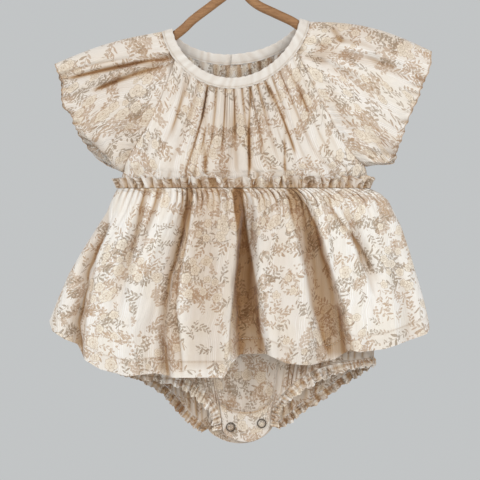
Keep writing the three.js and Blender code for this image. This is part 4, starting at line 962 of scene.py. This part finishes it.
# Materials
class Wire:      # a socket that can be added, multiplied and compared, so that a pattern reads as sums
    def __init__(self, tree, socket):
        self.tree, self.socket = tree, socket

    def do(self, operation, *others):
        node = self.tree.nodes.new("ShaderNodeMath")
        node.operation = operation
        for place, value in zip(node.inputs, (self, *others)):
            feed(self.tree, place, value)
        return Wire(self.tree, node.outputs[0])

    def __add__(self, other): return self.do("ADD", other)
    def __sub__(self, other): return self.do("SUBTRACT", other)
    def __mul__(self, other): return self.do("MULTIPLY", other)
    def __truediv__(self, other): return self.do("DIVIDE", other)
    def __pow__(self, other): return self.do("POWER", other)
    __radd__ = __add__
    __rmul__ = __mul__

    def __rsub__(self, other): return (self * -1) + other
    def __rtruediv__(self, other): return (self ** -1.0) * other
    def abs(self): return self.do("ABSOLUTE")
    def floor(self): return self.do("FLOOR")
    def sin(self): return self.do("SINE")
    def cos(self): return self.do("COSINE")
    def max(self, other): return self.do("MAXIMUM", other)
    def min(self, other): return self.do("MINIMUM", other)
    def above(self, other): return self.do("GREATER_THAN", other)
    def below(self, other): return self.do("LESS_THAN", other)

    def ramp(self, low, high, outLow=0.0, outHigh=1.0):
        node = self.tree.nodes.new("ShaderNodeMapRange")
        node.interpolation_type = "SMOOTHSTEP"
        for place, value in zip(list(node.inputs)[:5], (self, low, high, outLow, outHigh)):
            feed(self.tree, place, value)
        return Wire(self.tree, node.outputs[0])

    def line(self, half, soft=0.12):      # 1 within half of 0, softly
        return self.abs().ramp(half + soft, half - soft)


def feed(tree, place, value):
    if isinstance(value, Wire):
        tree.links.new(value.socket, place)
    else:
        place.default_value = value


def node(tree, kind, settings=None, **inputs):
    made = tree.nodes.new(kind)
    for key, value in (settings or {}).items():
        setattr(made, key, value)
    for key, value in inputs.items():
        feed(tree, made.inputs[key.replace("_", " ")], value)
    return made


def out(tree, made, name=0):
    return Wire(tree, made.outputs[name])


def split(tree, vector):
    made = node(tree, "ShaderNodeSeparateXYZ", Vector=vector)
    return out(tree, made, 0), out(tree, made, 1)


def join(tree, x, y, z=0.0):
    made = node(tree, "ShaderNodeCombineXYZ", X=x, Y=y, Z=z)
    return out(tree, made)


def noise(tree, vector, scale, detail=2.0, rough=0.5):
    made = node(tree, "ShaderNodeTexNoise", {"noise_dimensions": "2D"}, Vector=vector, Scale=scale, Detail=detail,
                Roughness=rough)
    return out(tree, made, 0)


def mix(tree, factor, first, second, kind="MIX"):
    made = tree.nodes.new("ShaderNodeMix")
    made.data_type, made.blend_type = "RGBA", kind
    feed(tree, made.inputs[0], factor)
    feed(tree, made.inputs[6], first)
    feed(tree, made.inputs[7], second)
    return Wire(tree, made.outputs[2])


def newGroup(name, inputs, outputs):
    tree = bpy.data.node_groups.new(name, "ShaderNodeTree")
    kinds = {"v": "NodeSocketVector", "f": "NodeSocketFloat", "c": "NodeSocketColor"}
    for label, kind, value in inputs:
        made = tree.interface.new_socket(label, in_out="INPUT", socket_type=kinds[kind])
        if value is not None:
            made.default_value = value
    for label, kind in outputs:
        tree.interface.new_socket(label, in_out="OUTPUT", socket_type=kinds[kind])
    into, result = tree.nodes.new("NodeGroupInput"), tree.nodes.new("NodeGroupOutput")
    return tree, [Wire(tree, into.outputs[i]) for i in range(len(inputs))], result


def useGroup(tree, group, *values):
    made = tree.nodes.new("ShaderNodeGroup")
    made.node_tree = group
    for place, value in zip(made.inputs, values):
        feed(tree, place, value)
    return [Wire(tree, socket) for socket in made.outputs]


# One motif to a cell: the way from its middle, turned at random, three random numbers and the middle itself
def scattered(tree, vector, cell, seed, loose):
    moved = node(tree, "ShaderNodeVectorMath", {"operation": "ADD"})
    feed(tree, moved.inputs[0], vector)
    feed(tree, moved.inputs[1], join(tree, seed, seed * 1.7))
    moved = out(tree, moved)
    cells = node(tree, "ShaderNodeTexVoronoi", {"voronoi_dimensions": "2D"}, Vector=moved, Scale=1.0 / cell,
                 Randomness=loose)
    chance = node(tree, "ShaderNodeSeparateColor", Color=out(tree, cells, "Color"))
    first, second, third = (out(tree, chance, i) for i in range(3))
    away = node(tree, "ShaderNodeVectorMath", {"operation": "SUBTRACT"})
    feed(tree, away.inputs[0], moved)
    feed(tree, away.inputs[1], out(tree, cells, "Position"))
    turned = node(tree, "ShaderNodeVectorRotate", {"rotation_type": "Z_AXIS"}, Vector=out(tree, away),
                  Angle=first * 6.283)
    x, y = split(tree, out(tree, turned))
    back = node(tree, "ShaderNodeVectorMath", {"operation": "SUBTRACT"})
    feed(tree, back.inputs[0], out(tree, cells, "Position"))
    feed(tree, back.inputs[1], join(tree, seed, seed * 1.7))
    return x, y, second, third, out(tree, back)


# A curved stem with small leaves down each side, no two alike
def makeSprayGroup():
    tree, (vector, cell, seed, length, pitch, leafLong, leafWide, wanted), result = newGroup(
        "leaf spray", [("Vector", "v", None), ("Cell", "f", 26), ("Seed", "f", 0), ("Length", "f", 20),
                       ("Pitch", "f", 3.4), ("Leaf long", "f", 4), ("Leaf wide", "f", 2), ("Wanted", "f", 0.5)],
        [("Ink", "f"), ("Line", "f")])
    x, y, second, third, middle = scattered(tree, vector, cell, seed, 0.85)
    bouquet = noise(tree, middle, 1 / 52.0, 1.0).ramp(0.42, 0.6)
    keep = (bouquet * 0.4 + wanted).above(second * 0.9 + 0.12)
    y = y - x * x * (third - 0.5) * 0.07
    half = length * 0.5
    inReach = (x.abs() - half).ramp(0.2, -0.2)
    side = y.above(0.0)
    lean = x - y.abs() * 0.7 + side * pitch * 0.5
    step = (lean / pitch + 0.5).floor()
    chance = node(tree, "ShaderNodeTexWhiteNoise", {"noise_dimensions": "2D"}, Vector=join(tree, step + side * 40.0, second * 90.0))
    size = out(tree, chance, "Value")
    lot = out(tree, node(tree, "ShaderNodeSeparateColor", Color=out(tree, chance, "Color")), 1)
    across = lean - step * pitch + (size - 0.5) * pitch * 0.25 - y.abs() * (lot - 0.5) * 0.45
    taper = 1.0 - ((x / half).abs() ** 2.0) * 0.5
    along = (y.abs() - 0.3) / (leafLong * taper * (size * 0.6 + 0.65))
    body = ((along * 3.1416).min(3.1416).max(0.0).sin().max(0.0) ** 0.6) * leafWide * 0.5 * taper * (lot * 0.5 + 0.75)
    leafEdge = body - across.abs()
    leaf = leafEdge.ramp(-0.08, 0.16) * lot.above(0.1)
    rim = (leafEdge - 0.2).line(0.2, 0.12)
    stem = y.line(0.2, 0.12) * 0.85
    line = stem.max(rim * leaf) * inReach * keep
    ink = (leaf * (size * 0.25 + 0.6)).max(line) * inReach * keep
    feed(tree, result.inputs[0], ink)
    feed(tree, result.inputs[1], line)
    return tree


# An open five-petalled blossom drawn in lines
def makeBlossomGroup():
    tree, (vector, cell, seed, radius, wanted), result = newGroup(
        "blossom", [("Vector", "v", None), ("Cell", "f", 17), ("Seed", "f", 0), ("Radius", "f", 6.5),
                    ("Wanted", "f", 0.0)], [("Line", "f"), ("Inside", "f")])
    x, y, second, third, middle = scattered(tree, vector, cell, seed, 0.7)
    bouquet = noise(tree, middle, 1 / 52.0, 1.0).ramp(0.47, 0.56)
    keep = (bouquet * 0.7 + wanted).above(second * 0.7 + 0.25)
    size = radius * (third * 0.35 + 0.75)
    squash = 1.0 + second * 0.35
    y = y * squash
    reach = ((x * x + y * y) ** 0.5) / size
    turn = y.do("ARCTAN2", x)
    petal = (turn * 2.5).cos().abs()
    edge = petal ** 0.6 * 0.28 + 0.7 + (turn * 15.0).sin() * 0.025
    thin = 0.26 / size
    rim = ((reach - edge) / thin).line(0.75, 0.5)
    between = ((turn * 2.5).cos() * reach * 3.0).line(0.13, 0.1) * reach.ramp(0.25, 0.34) * (edge - reach).ramp(-0.02, 0.03)
    inner = ((reach - (((turn * 2.5 + 1.1).cos().abs() ** 0.7) * 0.17 + 0.36)) / thin).line(0.9, 0.5)
    hatch = (turn * 30.0).sin().ramp(0.3, 0.9) * reach.ramp(0.62, 0.3) * reach.ramp(0.12, 0.2) * 0.55
    eye = reach.ramp(0.16, 0.11)
    feed(tree, result.inputs[0], rim.max(between).max(inner * 0.8).max(hatch).max(eye) * keep)
    feed(tree, result.inputs[1], (edge - reach).ramp(-0.02, 0.02) * keep)
    return tree


# Sprinkles of tiny flowers
def makeFloretGroup():
    tree, (vector, cell, seed), result = newGroup(
        "tiny flowers", [("Vector", "v", None), ("Cell", "f", 2.7), ("Seed", "f", 0)], [("Ink", "f")])
    x, y, second, third, middle = scattered(tree, vector, cell, seed, 0.75)
    reach = (x * x + y * y) ** 0.5
    turn = y.do("ARCTAN2", x)
    edge = ((turn * 2.5).cos().abs() * 0.35 + 0.75) * (third * 0.4 + 0.8)
    rim = (reach - edge).line(0.17, 0.12)
    eye = reach.ramp(0.34, 0.2)
    patch = noise(tree, middle, 1 / 25.0, 1.5).ramp(0.5, 0.6)
    group = noise(tree, middle, 1 / 60.0, 0.5).ramp(0.4, 0.52)
    keep = (patch * group).above(second * 0.8 + 0.1)
    feed(tree, result.inputs[0], (rim.max(eye)).max((edge - reach).ramp(-0.1, 0.1) * 0.5) * keep)
    return tree


# Crinkled gauze: its relief, in millimetres, from the cloth's own cut
def makeGauzeGroup():
    tree, (vector, crinkle), result = newGroup(
        "crinkle gauze", [("Vector", "v", None), ("Crinkle", "f", 1.0)], [("Height", "f"), ("Rib", "f")])
    x, y = split(tree, vector)
    stretched = join(tree, x, y * 0.06)
    bands = noise(tree, join(tree, x, y * 0.012), 1 / 13.0, 0.0).ramp(0.48, 0.6)
    bent = x + (noise(tree, stretched, 0.1, 1.0) - 0.5) * 3.0
    ribs = (bent * 3.1).sin().ramp(-0.1, 0.9) * bands * noise(tree, join(tree, x, y * 0.1), 0.35, 1.0).ramp(0.3, 0.5)
    creases = noise(tree, stretched, 0.55, 2.0, 0.55)
    soft = noise(tree, vector, 0.12, 2.0)
    weave = ((x * 12.0).sin() * (y * 12.0).sin()) * 0.012
    height = ribs * 0.16 + (creases - 0.5) * 0.75 * crinkle + (soft - 0.5) * 0.7 * crinkle + weave
    feed(tree, result.inputs[0], height)
    feed(tree, result.inputs[1], ribs)
    return tree


# deep and darkestShade are the colours of painted shade, multiplied into the cloth in its folds and hollows
printLook = {
    "ground": (0.82, 0.79, 0.745, 1), "warm": (0.80, 0.745, 0.66, 1), "rib": (0.94, 0.935, 0.925, 1),
    "deep": (0.50, 0.345, 0.21, 1), "taupe": (0.295, 0.215, 0.135, 1), "tan": (0.45, 0.30, 0.18, 1),
    "thread": (0.40, 0.26, 0.15, 1), "petal": (0.80, 0.71, 0.565, 1), "darkestShade": (0.60, 0.46, 0.32, 1), "sheen": 0.25, "roughness": 0.92, "bump": 0.9,
}
sprays = [      # cell, seed, length, pitch, leaf long, leaf wide, wanted outside bouquets
    (20, 3, 18, 4.0, 3.5, 2.5, 0.46), (25, 41, 21, 4.7, 4.3, 2.9, 0.5), (18, 77, 15, 3.6, 3.1, 2.3, 0.4),
    (28, 113, 20, 5.8, 5.6, 2.9, 0.56), (23, 191, 15, 5.2, 4.7, 2.6, 0.4), (19, 251, 16, 3.9, 3.3, 2.4, 0.42)]
blossoms = [(19, 11, 6.4, 0.0), (15, 57, 4.6, 0.0), (24, 97, 7.0, 0.0)]      # cell, seed, radius, wanted


def makePrintMaterial():
    material = bpy.data.materials.new("printed gauze")
    material.use_nodes = True
    tree = material.node_tree
    shader = tree.nodes["Principled BSDF"]
    cut = node(tree, "ShaderNodeUVMap", {"uv_map": "cloth"})
    scaled = node(tree, "ShaderNodeMapping", {"vector_type": "POINT"}, Vector=out(tree, cut))
    scaled.inputs["Scale"].default_value = (1000, 1000, 1000)
    vector = out(tree, scaled)
    wobble = node(tree, "ShaderNodeTexNoise", {"noise_dimensions": "2D"}, Vector=vector, Scale=0.14, Detail=1.0)
    shake = node(tree, "ShaderNodeVectorMath", {"operation": "MULTIPLY_ADD"})
    feed(tree, shake.inputs[0], out(tree, wobble, 1))
    shake.inputs[1].default_value = (2.2, 2.2, 0)
    feed(tree, shake.inputs[2], vector)
    drawn = out(tree, shake)
    sprayGroup, blossomGroup, floretGroup, gauzeGroup = groups
    ink = line = petals = drawnLine = None
    for cell, seed, length, pitch, leafLong, leafWide, wanted in sprays:
        one, stroke = useGroup(tree, sprayGroup, drawn, cell, seed, length, pitch, leafLong, leafWide, wanted)
        ink, line = (one, stroke) if ink is None else (ink.max(one), line.max(stroke))
    tiny, = useGroup(tree, floretGroup, drawn, 2.7, 5.0)
    tinyToo, = useGroup(tree, floretGroup, drawn, 3.1, 205.0)
    small = tiny.max(tinyToo)
    for cell, seed, radius, wanted in blossoms:
        stroke, inside = useGroup(tree, blossomGroup, drawn, cell, seed, radius, wanted)
        clear = 1.0 - inside
        ink, line, small = ink * clear, line * clear, small * clear
        drawnLine = stroke if drawnLine is None else (drawnLine * clear).max(stroke)
        petals = inside if petals is None else petals.max(inside)
    tone = noise(tree, vector, 1 / 38.0, 1.0).ramp(0.42, 0.58)
    # the painted shade of the cloth, from 0 where lit to past 1 deep in the folds
    foldDepthAndShade = node(tree, "ShaderNodeAttribute", {"attribute_name": "foldDepthAndShade"})
    deep = out(tree, foldDepthAndShade, "Fac").max(0.0)
    edging = node(tree, "ShaderNodeAttribute", {"attribute_name": "thread"})
    height, rib = useGroup(tree, gauzeGroup, vector, 1.0)
    ground = mix(tree, noise(tree, vector, 0.03, 2.0).ramp(0.35, 0.7) * 0.6, printLook["ground"], printLook["warm"])
    ground = mix(tree, rib * 0.8, ground, printLook["rib"])
    ground = mix(tree, petals * 0.55, ground, printLook["petal"])
    leafColour = mix(tree, tone, printLook["taupe"], printLook["tan"])
    colour = mix(tree, small * 0.85, ground, printLook["tan"])
    colour = mix(tree, drawnLine * 0.7, colour, mix(tree, tone * 0.5 + 0.4, printLook["taupe"], printLook["tan"]))
    colour = mix(tree, (ink * 0.88).max(line * 0.92), colour, leafColour)
    colour = mix(tree, out(tree, edging, "Fac") * 0.7, colour, printLook["thread"])
    colour = mix(tree, deep.min(1.0), colour, printLook["deep"], "MULTIPLY")      # painted shade in folds and hollows, tinted warm like light that has passed through cloth
    # past 1, a second, darker painted shade
    colour = mix(tree, ((deep - 1.0) * 2.0).max(0.0).min(1.0), colour, printLook["darkestShade"], "MULTIPLY")
    feed(tree, shader.inputs["Base Color"], colour)
    feed(tree, shader.inputs["Roughness"], (rib * -0.12) + printLook["roughness"])
    shader.inputs["Sheen Weight"].default_value = printLook["sheen"]
    shader.inputs["Sheen Roughness"].default_value = 0.5
    shader.inputs["Specular IOR Level"].default_value = 0.25
    bump = node(tree, "ShaderNodeBump", Height=height, Strength=printLook["bump"], Distance=0.001)
    feed(tree, shader.inputs["Normal"], out(tree, bump))
    return material


def makeBindingMaterial():
    material = bpy.data.materials.new("bias binding")
    material.use_nodes = True
    tree = material.node_tree
    shader = tree.nodes["Principled BSDF"]
    cut = node(tree, "ShaderNodeUVMap", {"uv_map": "cloth"})
    scaled = node(tree, "ShaderNodeMapping", {"vector_type": "POINT"}, Vector=out(tree, cut))
    scaled.inputs["Scale"].default_value = (1000, 1000, 1000)
    scaled.inputs["Rotation"].default_value = (0, 0, math.radians(45))      # cut on the bias
    vector = out(tree, scaled)
    height, rib = useGroup(tree, groups[3], vector, 0.35)
    colour = mix(tree, noise(tree, vector, 0.08, 3.0).ramp(0.35, 0.7) * 0.6, (0.78, 0.755, 0.715, 1), (0.72, 0.685, 0.635, 1))
    # painted shade between the binding's puckers and along its sewn line
    foldDepthAndShade = node(tree, "ShaderNodeAttribute", {"attribute_name": "foldDepthAndShade"})
    colour = mix(tree, out(tree, foldDepthAndShade, "Fac") * 0.6, colour, printLook["deep"], "MULTIPLY")
    feed(tree, shader.inputs["Base Color"], colour)
    shader.inputs["Roughness"].default_value = 0.9
    shader.inputs["Sheen Weight"].default_value = 0.2
    shader.inputs["Specular IOR Level"].default_value = 0.25
    bump = node(tree, "ShaderNodeBump", Height=height, Strength=0.7, Distance=0.001)
    feed(tree, shader.inputs["Normal"], out(tree, bump))
    return material


groups = (makeSprayGroup(), makeBlossomGroup(), makeFloretGroup(), makeGauzeGroup())
printed, bound = makePrintMaterial(), makeBindingMaterial()


def makeWoodMaterial():
    material = bpy.data.materials.new("hanger wood")
    material.use_nodes = True
    tree = material.node_tree
    shader = tree.nodes["Principled BSDF"]
    place = node(tree, "ShaderNodeTexCoord")
    stretched = node(tree, "ShaderNodeMapping", Vector=out(tree, place, "Object"))
    stretched.inputs["Scale"].default_value = (18, 160, 160)
    vector = out(tree, stretched)
    grain = node(tree, "ShaderNodeTexNoise", Vector=vector, Scale=2.2, Detail=6.0, Roughness=0.62, Distortion=0.6)
    pores = node(tree, "ShaderNodeTexNoise", Vector=vector, Scale=11.0, Detail=2.0)
    streak = out(tree, grain, 0).ramp(0.36, 0.66)
    colour = mix(tree, streak, (0.25, 0.12, 0.045, 1), (0.345, 0.18, 0.077, 1))
    dark = out(tree, pores, 0).ramp(0.62, 0.72)
    colour = mix(tree, dark * 0.45, colour, (0.17, 0.08, 0.03, 1))
    feed(tree, shader.inputs["Base Color"], colour)
    feed(tree, shader.inputs["Roughness"], streak * 0.1 + 0.52)
    bump = node(tree, "ShaderNodeBump", Height=dark * -0.1 + streak * 0.06, Strength=0.5, Distance=0.001)
    feed(tree, shader.inputs["Normal"], out(tree, bump))
    return material


def makeMetalMaterial(name, colour, worn, roughness):
    material = bpy.data.materials.new(name)
    material.use_nodes = True
    tree = material.node_tree
    shader = tree.nodes["Principled BSDF"]
    place = node(tree, "ShaderNodeTexCoord")
    marks = node(tree, "ShaderNodeTexNoise", Vector=out(tree, place, "Object"), Scale=900.0, Detail=4.0)
    spread = out(tree, marks, 0).ramp(0.4, 0.62)
    feed(tree, shader.inputs["Base Color"], mix(tree, spread, colour, worn))
    feed(tree, shader.inputs["Roughness"], spread * 0.18 + roughness)
    shader.inputs["Metallic"].default_value = 1.0
    return material


wood = makeWoodMaterial()
steel = makeMetalMaterial("hook steel", (0.55, 0.54, 0.52, 1), (0.42, 0.41, 0.39, 1), 0.24)
brass = makeMetalMaterial("dull snap metal", (0.115, 0.095, 0.075, 1), (0.19, 0.165, 0.135, 1), 0.38)


def makeThreadMaterial():
    material = bpy.data.materials.new("sewing thread")
    material.use_nodes = True
    tree = material.node_tree
    shader = tree.nodes["Principled BSDF"]
    place = node(tree, "ShaderNodeTexCoord")
    marks = node(tree, "ShaderNodeTexNoise", Vector=out(tree, place, "Object"), Scale=1400.0, Detail=2.0)
    colour = mix(tree, out(tree, marks, 0).ramp(0.4, 0.6), (0.66, 0.60, 0.52, 1), (0.50, 0.43, 0.35, 1))
    feed(tree, shader.inputs["Base Color"], colour)
    shader.inputs["Roughness"].default_value = 0.75
    shader.inputs["Sheen Weight"].default_value = 0.3
    return material


thread = makeThreadMaterial()

for name, nodeName, slotName, held, restsOn in (
    ("bodiceFront", "bodice_front", "print", "gathered", ["neckBinding"]),
    ("bodiceBack", "bodice_back", "print", "gathered", ["neckBinding"]),
    ("sleeveLeft", "sleeve_left", "print", "draped", ["hanger_arms", "neckBinding"]),
    ("sleeveRight", "sleeve_right", "print", "draped", ["hanger_arms", "neckBinding"]),
    ("skirtFront", "skirt_front", "print", "gathered", ["bodiceFront"]),
    ("skirtBack", "skirt_back", "print", "gathered", ["bodiceBack"]),
    ("waistFrill", "waist_frill", "print", "gathered", ["bodiceFront"]),
    ("legBandLeft", "leg_band_left", "print", "gathered", ["bloomerFront"]),
    ("legBandRight", "leg_band_right", "print", "gathered", ["bloomerFront"]),
    ("bloomerFront", "bloomer_front", "print", "gathered", ["bodiceFront"]),
    ("bloomerBack", "bloomer_back", "print", "gathered", ["bodiceBack"]),
    ("crotchPlacket", "crotch_placket", "print", "stretched", ["bloomerFront"]),
    ("backPlacket", "back_placket", "print", "stretched", ["bodiceBack"]),
    ("neckBinding", "neck_binding", "binding", "stretched", ["hanger_arms"]),
):
    pieces[name].data.materials.clear()
    pieces[name].data.materials.append(bound if slotName == "binding" else printed)
    declare(pieces[name], grids[name], nodeName)
for row in sewing.values():
    row.data.materials.append(thread)
    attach(row, "root")
for piece, nodeName, slotName, material in (
    (hangerArms, "hanger_arms", "wood", wood), (hangerHook, "hanger_hook", "hook", steel),
    (rings["snap_left"], "snap_left", "snap", brass), (rings["snap_right"], "snap_right", "snap", brass),
):
    piece.data.materials.clear()
    piece.data.materials.append(material)
    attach(piece, "root")
    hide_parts(nodeName)
print("materials given")

# Floor, light and camera
stageLook = {"floorZ": -1.3, "floorWide": 5.0, "cameraAway": 1.9, "framed": 0.480, "middle": (0.002, -0.3164)}
deselect()
bpy.ops.mesh.primitive_plane_add(size=stageLook["floorWide"], location=(0, 0, stageLook["floorZ"]))
floor = bpy.context.object
floor.name = "floor"
pale = bpy.data.materials.new("pale floor")
pale.use_nodes = True
paleShader = pale.node_tree.nodes["Principled BSDF"]
paleShader.inputs["Base Color"].default_value = (0.72, 0.73, 0.74, 1)
paleShader.inputs["Roughness"].default_value = 0.85
floor.data.materials.append(pale)


def addArea(name, place, aim, size, power, colour):
    deselect()
    bpy.ops.object.light_add(type="AREA", location=place)
    lamp = bpy.context.object
    lamp.name = name
    lamp.data.size, lamp.data.energy, lamp.data.color = size, power, colour
    away = np.array(place) - np.array(aim)
    lamp.rotation_euler = (math.acos(away[2] / np.linalg.norm(away)), 0, math.atan2(away[0], -away[1]))
    return lamp


addArea("window", (1.25, -1.35, 0.5), (0, 0, -0.3), 1.1, 18.6, (1.0, 0.995, 0.98))
addArea("second window", (-1.5, -1.15, 0.55), (0, 0, -0.3), 1.1, 17.8, (1.0, 0.995, 0.98))
addArea("back window", (-0.9, 1.9, 0.6), (0, 0, -0.3), 1.4, 20, (1.0, 0.995, 0.98))
addArea("low fill", (0.1, -1.7, -1.05), (0, 0, -0.42), 1.2, 8.5, (1.0, 0.96, 0.88))
world = bpy.data.worlds.new("studio")
bpy.context.scene.world = world
world.use_nodes = True
seen = node(world.node_tree, "ShaderNodeLightPath")      # the wall as it is seen, dimmer as a light
backdrop = mix(world.node_tree, out(world.node_tree, seen, "Is Camera Ray"), (0.42, 0.42, 0.425, 1), (0.54, 0.555, 0.56, 1))
feed(world.node_tree, world.node_tree.nodes["Background"].inputs["Color"], backdrop)

bpy.ops.object.camera_add(location=(stageLook["middle"][0], -stageLook["cameraAway"], stageLook["middle"][1]),
                          rotation=(math.pi / 2, 0, 0))
camera = bpy.context.object
camera.data.sensor_width = 36
camera.data.lens = 36 * (stageLook["cameraAway"] - 0.015) / stageLook["framed"]
bpy.context.scene.camera = camera
print("stage set")
